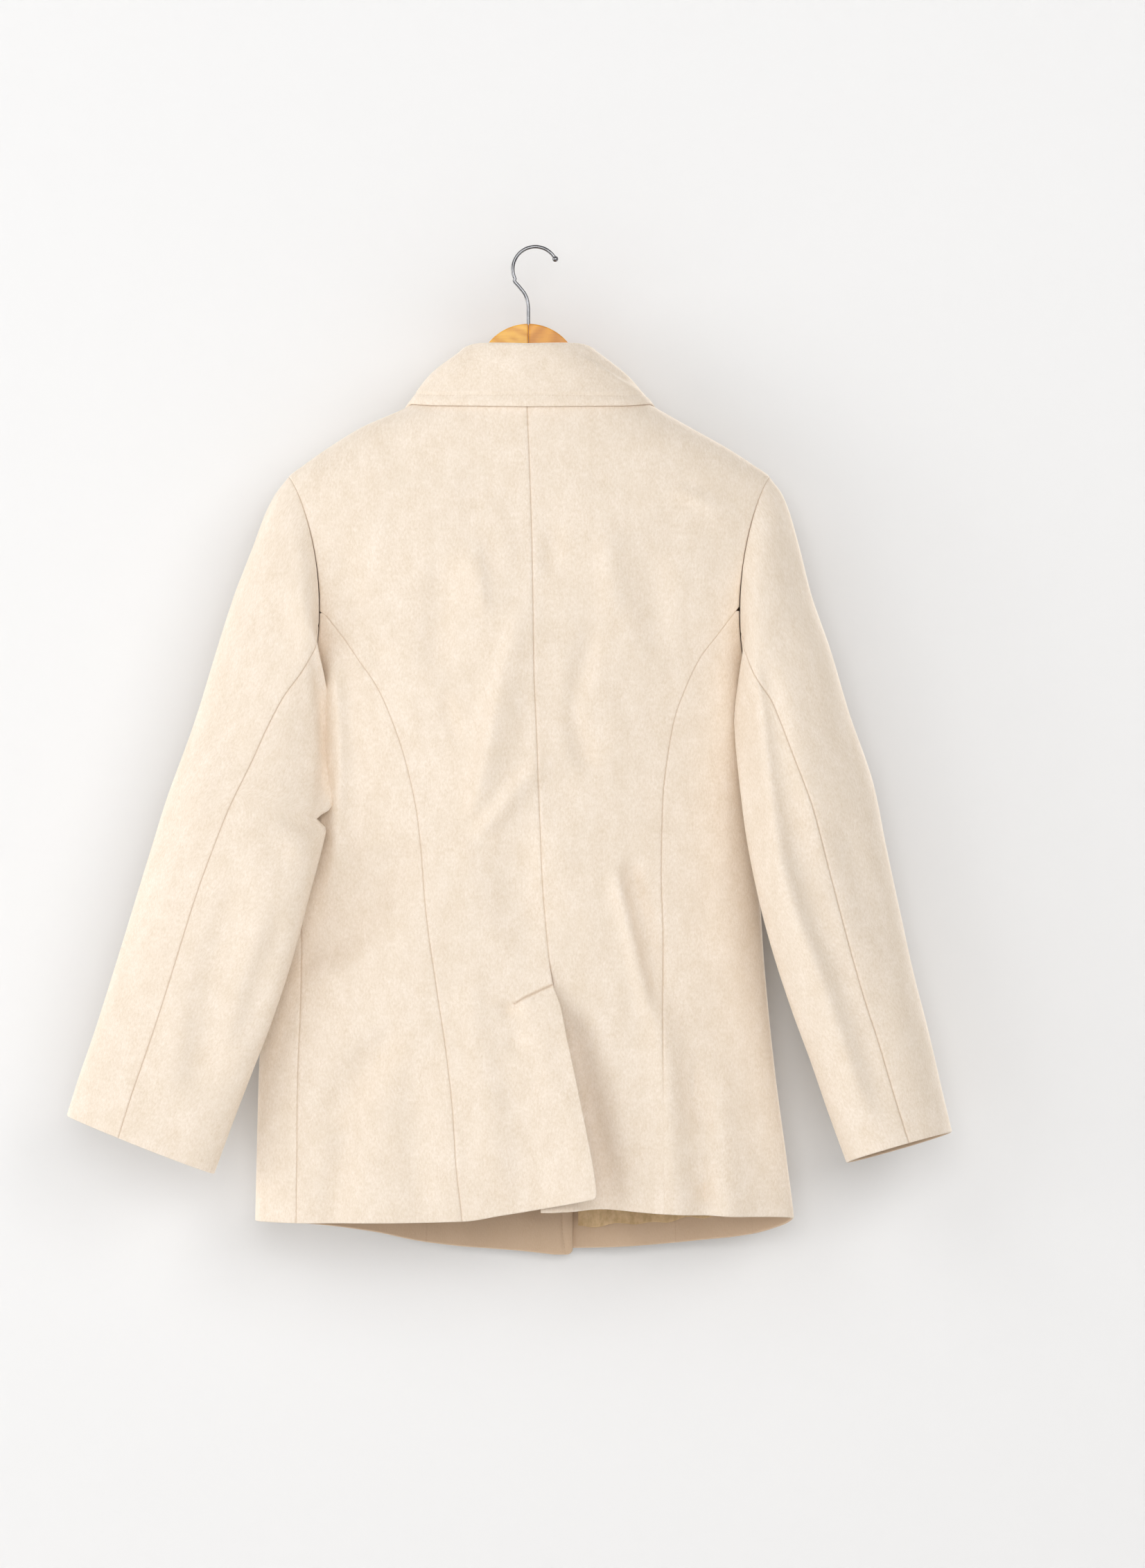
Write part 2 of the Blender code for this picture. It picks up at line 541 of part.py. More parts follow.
def vent_sink(turn, z, x):
    """The right back sinks a layer below the left one at the vent."""
    height = smoothstep(z, VENT_TOP_Z + VENT_SINK_ABOVE, VENT_TOP_Z)
    seam = CENTRE_BACK_X(z) + VENT_SINK_LEVEL
    near = smoothstep(x, seam + VENT_SINK_WIDTH, seam)
    return -LAYER_STEP * height * near


def front_lap(turn, z, x):
    """The right front climbs a layer over the left one."""
    edge = CENTRE_FRONT_X(z) + FRONT_OVERLAP
    return LAYER_STEP * smoothstep(x, edge + FRONT_LAP_START, edge + FRONT_LAP_END)


def body_panels():
    """Name, rows, left edge, right edge, hem and lift of each panel."""
    left_ring, right_ring = LEFT_SLEEVE[0], RIGHT_SLEEVE[0]
    side_left = curves_of(SIDE_COLUMNS, SIDE_LEFT)["turn"]
    side_right = curves_of(SIDE_COLUMNS, SIDE_RIGHT)["turn"]
    back_left = seam_turn(PRINCESS_BACK_LEFT, back_turn)
    back_right = seam_turn(PRINCESS_BACK_RIGHT, back_turn)
    front_left = seam_turn(PRINCESS_FRONT_LEFT, lambda x, z: front_turn(x, z, -1))
    front_right = seam_turn(PRINCESS_FRONT_RIGHT, lambda x, z: front_turn(x, z, 1))
    full = levels_between(HEM_Z, NECK_SIDE_Z, ROW_STEP, SHOULDER_ROWS + ARMHOLE_ROWS + VENT_ROWS)
    to_join_left = levels_between(HEM_Z, BACK_JOIN_LEFT - TIP, ROW_STEP, ARMHOLE_ROWS)
    to_join_right = levels_between(HEM_Z, BACK_JOIN_RIGHT - TIP, ROW_STEP, ARMHOLE_ROWS)
    to_join_front = levels_between(HEM_Z, FRONT_JOIN - TIP, ROW_STEP, ARMHOLE_ROWS)

    def centre_back(z):
        return back_turn(CENTRE_BACK_X(z), z)

    def underlap(z):
        return back_turn(CENTRE_BACK_X(z) - vent_underlap(z), z)

    def left_front_edge(z):
        return front_turn(CENTRE_FRONT_X(z) + FRONT_OVERLAP, z, -1)

    def right_front_edge(z):
        return front_turn(CENTRE_FRONT_X(z) - FRONT_OVERLAP, z, 1)

    return (
        ("back_left", full, outer_edge(back_left, BACK_JOIN_LEFT, left_ring, -1, False), centre_back,
         LEFT_HEM_Z, flap_lift),
        ("back_right", full, underlap, outer_edge(back_right, BACK_JOIN_RIGHT, right_ring, 1, False),
         RIGHT_HEM_Z, vent_sink),
        ("back_side_left", to_join_left, side_edge(side_left, left_ring, -1, False), back_left,
         LEFT_HEM_Z, None),
        ("back_side_right", to_join_right, back_right, side_edge(side_right, right_ring, 1, False),
         RIGHT_HEM_Z, None),
        ("front_side_left", to_join_front, front_left, side_edge(side_left, left_ring, -1, True),
         LEFT_HEM_Z, None),
        ("front_side_right", to_join_front, side_edge(side_right, right_ring, 1, True), front_right,
         RIGHT_HEM_Z, None),
        ("front_left", full, left_front_edge, outer_edge(front_left, FRONT_JOIN, left_ring, -1, True),
         LEFT_HEM_Z, None),
        ("front_right", full, outer_edge(front_right, FRONT_JOIN, right_ring, 1, True), right_front_edge,
         RIGHT_HEM_Z, front_lap),
    )


def build_body(collection, wool):
    for name, levels, left, right, hem, lift in body_panels():
        place(collection, name, panel(name, levels, left, right, hem, lift), wool)


def build_lining(collection, satin):
    """The satin inside the right front, from below the arm down to the turned-up hem."""
    start = curves_of(SIDE_COLUMNS, SIDE_RIGHT)["turn"]

    def end(z):
        return front_turn(CENTRE_FRONT_X(z) + LINING_START_PAST_CENTRE, z, 1)

    def hem(turn):
        return RIGHT_HEM_Z(turn) + LINING_ABOVE_HEM

    levels = levels_between(HEM_Z, LINING_TOP_Z, ROW_STEP)
    mesh = panel("lining_right", levels, start, end, hem, None, LINING_SINK, LINING_WALL)
    place(collection, "lining_right", mesh, satin)


# ================================================================ sleeves
def sleeve_surface(rows, side):
    """Surface of a sleeve: angle round it (0 outer, 90 back, 180 inner, 270 front) and place along it."""
    at = curves_of(SLEEVE_COLUMNS, rows)
    ring = rows[0]
    centre_x, centre_z = (ring[1] + ring[4]) / 2, (ring[3] + ring[6]) / 2

    def tube(theta, s):
        c, v = np.cos(np.radians(theta)), np.sin(np.radians(theta))
        outer = np.stack([at[k](s) for k in ("ox", "oy", "oz")], axis=-1)
        inner = np.stack([at[k](s) for k in ("ix", "iy", "iz")], axis=-1)
        full = np.where(v > 0, at["back_full"](s), at["front_full"](s))
        deep = np.where(v > 0, -at["back"](s), at["front"](s))
        off_line = (full * np.abs(v) ** RING_SHAPE, deep * np.abs(v), at["tilt"](s) * v)
        off_line = np.stack(np.broadcast_arrays(*off_line), axis=-1)
        return (outer + inner) / 2 + (outer - inner) / 2 * c[..., None] + off_line

    def surface(theta, station):
        s = station / 100.0
        start = tube(theta, 0.0 * s)
        across, up = start[..., 0] - centre_x, start[..., 2] - centre_z
        shrink = 1 - ARMHOLE_INSET / np.hypot(across, up)
        x, z = centre_x + across * shrink, centre_z + up * shrink
        turn = np.where(np.sin(np.radians(theta)) > 0, back_turn(x, z), front_turn(x, z, side))
        held = 1 - smoothstep(s, 0.0, ARMHOLE_BLEND)
        return tube(theta, s) + (body_surface(turn, z) - start) * held[..., None]

    return surface


def build_sleeve(collection, wool, name, rows, seams, side):
    surface = sleeve_surface(rows, side)
    at = curves_of(SLEEVE_SEAM_COLUMNS, seams)
    stations = np.array(STATIONS)[:, None]
    s = stations / 100.0
    back, under = at["back"](s), at["under"](s)
    seam = SLEEVE_SEAM_HALF
    halves = (
        ("top_sleeve_" + name, under - 360 + seam, back - seam, TOP_SLEEVE_COLUMNS),
        ("under_sleeve_" + name, back + seam, under - seam, UNDER_SLEEVE_COLUMNS),
    )
    for node, start, end, columns in halves:
        across = np.linspace(0.0, 1.0, columns + 1)[None, :]
        theta = start * (1 - across) + end * across
        along = stations + 0 * across
        outer = surface(theta, along)
        outward = normals_of(surface, theta, np.clip(along, NORMAL_STEP, 100 - NORMAL_STEP)) * side
        place(collection, node, wall_mesh(node, outer, outer - outward * WALL), wool)


# ================================================================ collar
def collar_fold(turn):
    """Centre of the collar's rolled fold, and the level direction away from the neck."""
    turn_abs = np.abs(turn)
    radians = np.radians(turn)
    half, depth, z = (COLLAR_AT[k](turn_abs) for k in ("fold_half", "fold_depth", "fold_z"))
    s, c = np.sin(radians), np.cos(radians)
    centre = np.stack((COLLAR_CENTRE_X + half * s, -depth * c, z), axis=-1)
    away = np.stack((depth * s, -half * c, 0 * z), axis=-1)
    away = away / np.linalg.norm(away, axis=-1, keepdims=True)
    return centre, away


def fall_surface(turn, v):
    """Outer face of the collar: over the rolled fold, then down to the edge at v = 100."""
    centre, away = collar_fold(turn)
    turn_abs = np.abs(turn)
    edge_turn = np.sign(turn) * COLLAR_AT["edge_turn"](turn_abs)
    edge_z = COLLAR_AT["edge_z"](turn_abs)
    over = body_surface(edge_turn, edge_z)
    edge = over + normals_of(body_surface, edge_turn, edge_z) * COLLAR_AT["rise"](turn_abs)[..., None]
    roll = np.radians(np.clip(v / COLLAR_ROLL_END, 0, 1) * COLLAR_ROLL_SWEEP)
    up = np.array((0.0, 0.0, 1.0))
    rolled = centre + COLLAR_ROLL * (-away * np.cos(roll)[..., None] + up * np.sin(roll)[..., None])
    t = np.clip((v - COLLAR_ROLL_END) / (100 - COLLAR_ROLL_END), 0, 1)[..., None]
    belly = COLLAR_BELLY * 4 * t * (1 - t) * (away + up) / math.sqrt(2)
    return rolled + (edge - rolled) * t + belly


def stand_surface(turn, v):
    """Outer face of the collar stand, from the neck seam at v = 0 to the fold at v = 100."""
    centre, away = collar_fold(turn)
    up = np.array((0.0, 0.0, 1.0))
    top = centre - away * (COLLAR_ROLL - WALL) - up * STAND_TUCK
    foot = body_surface(turn, neck_z(turn))
    outward = normals_of(body_surface, turn, neck_z(turn))
    along = body_surface(turn + 0.1, neck_z(turn + 0.1)) - body_surface(turn - 0.1, neck_z(turn - 0.1))
    clear = np.cross(outward, along)
    foot = foot + clear / np.linalg.norm(clear, axis=-1, keepdims=True) * STAND_FOOT
    t = v[..., None] / 100
    return foot + (top - foot) * t


def build_collar(collection, wool):
    half = np.array(COLLAR_HALF_TURNS)
    turns = np.concatenate((-half[::-1], (0.0,), half))
    for name, surface, rows, facing in (
        ("collar_fall", fall_surface, COLLAR_FALL_ROWS, -1),
        ("collar_stand", stand_surface, COLLAR_STAND_ROWS, 1),
    ):
        v, turn = np.meshgrid(rows, turns, indexing="ij")
        outer = surface(turn, v)
        outward = normals_of(surface, turn, np.clip(v, NORMAL_STEP, 100 - NORMAL_STEP)) * facing
        place(collection, name, wall_mesh(name, outer, outer - outward * WALL), wool)


# ================================================================ buttons
def build_buttons(collection, horn):
    for number, z in enumerate(BUTTON_ZS, start=1):
        x = CENTRE_FRONT_X(z)
        turn = np.array(front_turn(x, z, 1))
        height = np.array(z)
        outward = Vector(normals_of(body_surface, turn, height))
        foot = Vector(body_surface(turn, height)) + outward * (LAYER_STEP + BUTTON_REST)
        profile = (
            (0.0, BUTTON_THICK - BUTTON_DISH),
            (BUTTON_RADIUS - BUTTON_RIM - BUTTON_EDGE, BUTTON_THICK - BUTTON_DISH),
            (BUTTON_RADIUS - BUTTON_RIM, BUTTON_THICK),
            (BUTTON_RADIUS - BUTTON_EDGE, BUTTON_THICK),
            (BUTTON_RADIUS, BUTTON_THICK - BUTTON_EDGE),
            (BUTTON_RADIUS, BUTTON_EDGE_Z),
            (BUTTON_RADIUS - BUTTON_UNDERCUT, 0.0),
            (0.0, 0.0),
        )
        name = f"button_{number}"
        mesh = bpy.data.meshes.new(name)
        points = [(r * MM, 0.0, h * MM) for r, h in profile]
        mesh.from_pydata(points, [(i, i + 1) for i in range(len(points) - 1)], [])
        made = place(collection, name, mesh, horn)
        made.location = foot * MM
        made.rotation_euler = outward.to_track_quat("Z", "Y").to_euler()
        turned = made.modifiers.new("turned", "SCREW")
        turned.axis = "Z"
        turned.steps = BUTTON_SIDES
        turned.render_steps = BUTTON_SIDES
        turned.use_merge_vertices = True
        turned.merge_threshold = WELD


# ================================================================ hanger and hook
def shoulder_line(u):
    """Height of the lower of the coat's two shoulder lines at a distance from the hanger's centre."""
    zs = np.linspace(NECK_SIDE_Z, ARMHOLE_TOP, 60)
    left = HANGER_X - BODY["left"](zs)
    right = BODY["right"](zs) - HANGER_X
    return float(min(np.interp(u, left, zs), np.interp(u, right, zs)))


def hanger_outline(side):
    """Outline of one half of the hanger, from the centre joint round to its foot."""
    points = []
    for u in np.linspace(GAP / 2, HANGER_ARC_END, HANGER_STEPS):
        points.append((u, HANGER_APEX_Z - HANGER_ARC_R + math.sqrt(HANGER_ARC_R ** 2 - u ** 2)))
    points.append(HANGER_SHOULDER)
    for u in np.linspace(HANGER_ARM_FROM, HANGER_REACH - HANGER_TIP, HANGER_STEPS):
        points.append((u, shoulder_line(u) - HANGER_SEAT))
    points.append((HANGER_REACH, shoulder_line(HANGER_REACH) - HANGER_SEAT - HANGER_TIP))
    points.append((HANGER_REACH, HANGER_END_Z))
    lower = curves_of(HANGER_COLUMNS, HANGER_LOWER)["z"]
    for u in np.linspace(HANGER_REACH - 2 * HANGER_TIP, GAP / 2, HANGER_STEPS):
        points.append((u, float(lower(u))))
    return [(HANGER_X + side * u, z) for u, z in points]


def mesh_of_curve(source, name):
    """The mesh of a curve object with its caps welded; the curve is removed."""
    graph = bpy.context.evaluated_depsgraph_get()
    mesh = bpy.data.meshes.new_from_object(source.evaluated_get(graph))
    mesh.name = name
    mesh.transform(source.matrix_world)
    tidy = bmesh.new()
    tidy.from_mesh(mesh)
    bmesh.ops.remove_doubles(tidy, verts=tidy.verts, dist=WELD)
    tidy.to_mesh(mesh)
    tidy.free()
    bpy.data.objects.remove(source)
    return mesh


def build_hanger(collection, cutters, wood):
    bpy.ops.mesh.primitive_cylinder_add(vertices=16, radius=HOOK_BORE_R * MM, depth=BORE_LENGTH * MM)
    bore = bpy.context.object
    bore.name = "hanger_bore"
    bore.location = (HANGER_X * MM, 0.0, (HOOK_FOOT_Z - GAP + BORE_LENGTH / 2) * MM)
    bore.hide_render = True
    bore.display_type = "WIRE"
    for owner in list(bore.users_collection):
        owner.objects.unlink(bore)
    cutters.objects.link(bore)
    for name, side in (("hanger_left", -1), ("hanger_right", 1)):
        outline = hanger_outline(side)
        curve = bpy.data.curves.new(name, "CURVE")
        curve.dimensions = "2D"
        curve.fill_mode = "BOTH"
        curve.extrude = HANGER_THICK / 2 * MM
        spline = curve.splines.new("POLY")
        spline.points.add(len(outline) - 1)
        for point, (x, z) in zip(spline.points, outline):
            point.co = (x * MM, z * MM, 0.0, 1.0)
        spline.use_cyclic_u = True
        flat = bpy.data.objects.new(name + "_outline", curve)
        flat.rotation_euler = (math.radians(90), 0.0, 0.0)
        collection.objects.link(flat)
        bpy.context.view_layer.update()
        made = place(collection, name, mesh_of_curve(flat, name), wood)
        rounded = made.modifiers.new("rounded", "BEVEL")
        rounded.width = HANGER_BEVEL * MM
        rounded.segments = 2
        rounded.limit_method = "ANGLE"
        rounded.angle_limit = math.radians(60)
        cut = made.modifiers.new("bore", "BOOLEAN")
        cut.operation = "DIFFERENCE"
        cut.object = bore


def hook_path():
    """Centre line of the hook's wire in the X-Z plane, from the tip to the foot."""
    radius = HOOK_R + WIRE_R
    points = []
    for angle in np.linspace(HOOK_TIP_ANGLE, HOOK_NECK_ANGLE, HOOK_STEPS):
        turn = math.radians(angle)
        points.append((radius * math.cos(turn), radius * math.sin(turn) - HOOK_R))
    points += list(HOOK_NECK)
    points.append((HANGER_X, HOOK_FOOT_Z))
    return points


def build_hook(collection, cutters, chrome):
    path = hook_path()
    curve = bpy.data.curves.new("hook", "CURVE")
    curve.dimensions = "3D"
    curve.bevel_depth = WIRE_R * MM
    curve.bevel_resolution = 2
    curve.use_fill_caps = True
    spline = curve.splines.new("POLY")
    spline.points.add(len(path) - 1)
    for point, (x, z) in zip(spline.points, path):
        point.co = (x * MM, 0.0, z * MM, 1.0)
    wire = bpy.data.objects.new("hook_wire", curve)
    collection.objects.link(wire)
    bpy.context.view_layer.update()
    made = place(collection, "hook", mesh_of_curve(wire, "hook"), chrome)
    tip_x, tip_z = path[0]
    ball_mesh = bpy.data.meshes.new("hook_ball")
    ball_shape = bmesh.new()
    bmesh.ops.create_uvsphere(ball_shape, u_segments=12, v_segments=8, radius=BALL_R * MM)
    ball_shape.to_mesh(ball_mesh)
    ball_shape.free()
    ball = bpy.data.objects.new("hook_ball", ball_mesh)
    ball.location = (tip_x * MM, 0.0, tip_z * MM)
    ball.hide_render = True
    ball.display_type = "WIRE"
    cutters.objects.link(ball)
    joined = made.modifiers.new("ball", "BOOLEAN")
    joined.operation = "UNION"
    joined.object = ball


def main():
    for old in list(bpy.data.objects):
        bpy.data.objects.remove(old)
    scene = bpy.context.scene
    coat = bpy.data.collections.new("short_coat_on_hanger")
    cutters = bpy.data.collections.new("cutters")
    scene.collection.children.link(coat)
    scene.collection.children.link(cutters)
    wool = material("cream_wool", WOOL, 0.95)
    build_body(coat, wool)
    build_lining(coat, material("gold_satin", SATIN, 0.4))
    build_sleeve(coat, wool, "left", LEFT_SLEEVE, LEFT_SLEEVE_SEAMS, -1)
    build_sleeve(coat, wool, "right", RIGHT_SLEEVE, RIGHT_SLEEVE_SEAMS, 1)
    build_collar(coat, wool)
    build_buttons(coat, material("horn_button", BUTTON_HORN, 0.35))
    build_hanger(coat, cutters, material("hanger_wood", WOOD, 0.4))
    build_hook(coat, cutters, material("chrome", CHROME, 0.12, 1.0))


main()
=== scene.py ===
import logging
import math
from collections.abc import Callable
from dataclasses import dataclass, field
from enum import Enum

import bmesh
import bpy
import numpy as np
from mathutils import Matrix, Vector


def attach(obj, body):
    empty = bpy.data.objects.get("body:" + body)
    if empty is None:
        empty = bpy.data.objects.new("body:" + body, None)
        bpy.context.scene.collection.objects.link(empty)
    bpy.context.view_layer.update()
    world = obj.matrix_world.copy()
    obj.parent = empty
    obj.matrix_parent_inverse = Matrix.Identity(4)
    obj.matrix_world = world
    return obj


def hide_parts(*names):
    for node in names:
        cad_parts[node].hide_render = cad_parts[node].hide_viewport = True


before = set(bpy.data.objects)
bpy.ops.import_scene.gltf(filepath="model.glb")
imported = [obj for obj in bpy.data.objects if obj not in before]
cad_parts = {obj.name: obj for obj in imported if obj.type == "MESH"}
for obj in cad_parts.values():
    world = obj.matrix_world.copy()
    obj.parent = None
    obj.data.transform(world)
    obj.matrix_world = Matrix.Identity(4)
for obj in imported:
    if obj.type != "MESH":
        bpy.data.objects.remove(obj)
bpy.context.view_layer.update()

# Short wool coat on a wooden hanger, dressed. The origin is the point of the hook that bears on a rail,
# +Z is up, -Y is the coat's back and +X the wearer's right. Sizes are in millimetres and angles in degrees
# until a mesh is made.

LOG = logging.getLogger("short_coat")
MM = 0.001
UP = np.array((0.0, 0.0, 1.0))
BACKWARD = np.array((0.0, -1.0, 0.0))

Array = np.ndarray
Curve = Callable[[Array], Array]
Surface = Callable[[Array, Array], Array]
Raise = Callable[[Array, Array, Array], Array]
Row = tuple[float, ...]
Rows = tuple[Row, ...]
Pair = tuple[float, float]
Triple = tuple[float, float, float]
Colour = tuple[float, float, float, float]
Flags = tuple[bool, bool, bool, bool]
Thing = bpy.types.Object
Socket = bpy.types.NodeSocket
Inputs = dict[str | int, object]


class Side(Enum):
    """The wearer's side, with its sign along X."""

    LEFT = -1
    RIGHT = 1


class Edge(Enum):
    """How an edge of a piece of cloth ends."""

    SEAM = "seam"
    FREE = "free"
    PLAIN = "plain"


# ================================================================ curves
def smooth_curve(xs: Array, ys: Array, level_ends: bool = False) -> Curve:
    """Make a smooth function through points that doesn't overshoot them.

    Args:
        xs: Places along the curve, in any order.
        ys: Values at those places.
        level_ends: Whether the curve starts and ends level.

    Returns:
        A function of an array of places.
    """
    order = np.argsort(xs)
    xs, ys = np.asarray(xs, float)[order], np.asarray(ys, float)[order]
    steps = np.diff(xs)
    slopes = np.diff(ys) / steps
    tangents = np.zeros_like(ys)
    if not level_ends:
        tangents[0], tangents[-1] = slopes[0], slopes[-1]
    for i in range(1, len(xs) - 1):
        before, after = slopes[i - 1], slopes[i]
        if before * after > 0:
            w_before = 2 * steps[i] + steps[i - 1]
            w_after = steps[i] + 2 * steps[i - 1]
            tangents[i] = (w_before + w_after) / (w_before / before + w_after / after)

    def value(x: Array) -> Array:
        """Read the curve at an array of places."""
        x = np.clip(np.asarray(x, float), xs[0], xs[-1])
        i = np.clip(np.searchsorted(xs, x) - 1, 0, len(xs) - 2)
        t = (x - xs[i]) / steps[i]
        from_start = (1 + 2 * t) * (1 - t) ** 2 * ys[i] + t * (1 - t) ** 2 * steps[i] * tangents[i]
        from_end = t * t * (3 - 2 * t) * ys[i + 1] + t * t * (t - 1) * steps[i] * tangents[i + 1]
        return from_start + from_end

    return value


def smoothstep(value: Array, start: float, end: float) -> Array:
    """Rise softly from 0 at start to 1 at end."""
    t = np.clip((np.asarray(value, float) - start) / (end - start), 0.0, 1.0)
    return t * t * (3 - 2 * t)


def bell(value: Array, width: float) -> Array:
    """Fall softly from 1 at 0 to about a third at a width."""
    return np.exp(-((value / width) ** 2))


def sine(turn: Array) -> Array:
    """Sine of degrees."""
    return np.sin(np.radians(turn))


def cosine(turn: Array) -> Array:
    """Cosine of degrees."""
    return np.cos(np.radians(turn))


def stacked(*parts: Array) -> Array:
    """Join coordinates into points."""
    return np.stack(np.broadcast_arrays(*parts), axis=-1)


def lengths(points: Array, axis: int) -> Array:
    """Distances between neighbouring points of a grid."""
    return np.linalg.norm(np.diff(points, axis=axis), axis=-1)


def unit(vectors: Array) -> Array:
    """Scale vectors to length 1."""
    return vectors / np.maximum(np.linalg.norm(vectors, axis=-1, keepdims=True), 1e-12)


def normals_of(surface: Surface, a: Array, b: Array, step: float = 0.02) -> Array:
    """Measure a surface's unit normals: its slope along a, crossed with its slope along b."""
    along_a = surface(a + step, b) - surface(a - step, b)
    along_b = surface(a, b + step) - surface(a, b - step)
    return unit(np.cross(along_a, along_b))


@dataclass(frozen=True)
class Table:
    """Rows of numbers under named columns, each read as a curve against the first column."""

    columns: tuple[str, ...]
    rows: Rows

    def curve(self, name: str, level_ends: bool = False) -> Curve:
        """Return the curve of one named column."""
        data = np.array(self.rows, float)
        return smooth_curve(data[:, 0], data[:, self.columns.index(name)], level_ends)

    def curves(self) -> dict[str, Curve]:
        """Return the curves of all columns after the first."""
        return {name: self.curve(name) for name in self.columns[1:]}


# ================================================================ folds
@dataclass
class Fold:
    """One soft ridge (height above 0) or trough of the cloth, along a line of rows: z, x, width, height."""

    rows: Rows
    lean: float = 0.0

    def __post_init__(self) -> None:
        """Read the rows as curves."""
        table = Table(("z", "x", "width", "height"), self.rows)
        self.line, self.width = table.curve("x"), table.curve("width")
        self.rise = table.curve("height", level_ends=True)
        self.low, self.high = min(row[0] for row in self.rows), max(row[0] for row in self.rows)

    def height_at(self, x: Array, z: Array) -> Array:
        """Height of this fold above the plain cloth."""
        slope = (self.line(z + 1) - self.line(z - 1)) / 2
        across = (x - self.line(z)) / np.sqrt(1 + slope ** 2)
        width = self.width(z)
        width = width * (1 + self.lean * np.tanh(2 * across / width))
        inside = (z >= self.low) & (z <= self.high)
        return np.where(inside, self.rise(z), 0.0) * bell(2 * across, width)


@dataclass
class Unevenness:
    """Slight unevenness of hung wool: low waves whose lengths and directions are drawn once."""

    seed: int
    count: int = 36
    shortest: float = 22.0
    longest: float = 110.0
    height: float = 0.30

    def __post_init__(self) -> None:
        """Draw the waves."""
        draw = np.random.default_rng(self.seed)
        length = self.shortest * (self.longest / self.shortest) ** draw.random(self.count)
        turn = draw.random(self.count) * 2 * math.pi
        self.along_x = 2 * math.pi / length * np.cos(turn)
        self.along_z = 2 * math.pi / length * np.sin(turn) * 0.6
        self.phase = draw.random(self.count) * 2 * math.pi
        self.part = self.height * (length / self.longest) ** 0.6 * math.sqrt(2 / self.count)

    def height_at(self, x: Array, z: Array) -> Array:
        """Height of the waves at a place."""
        total = np.zeros(np.broadcast(x, z).shape)
        for kx, kz, phase, part in zip(self.along_x, self.along_z, self.phase, self.part):
            total = total + part * np.sin(kx * x + kz * z + phase)
        return total * 2.0


def fold_sum(folds: tuple[Fold, ...], x: Array, z: Array) -> Array:
    """Add up the heights of several folds."""
    return sum((fold.height_at(x, z) for fold in folds), np.zeros(np.broadcast(x, z).shape))


VENT_TROUGH = Fold(((-930, 63, 46, -6.4), (-870, 59, 44, -7.8), (-820, 53, 41, -7.8), (-760, 43, 37, -6.8),
                    (-710, 33, 30, -4.6), (-672, 25, 18, 0)), 0.45)

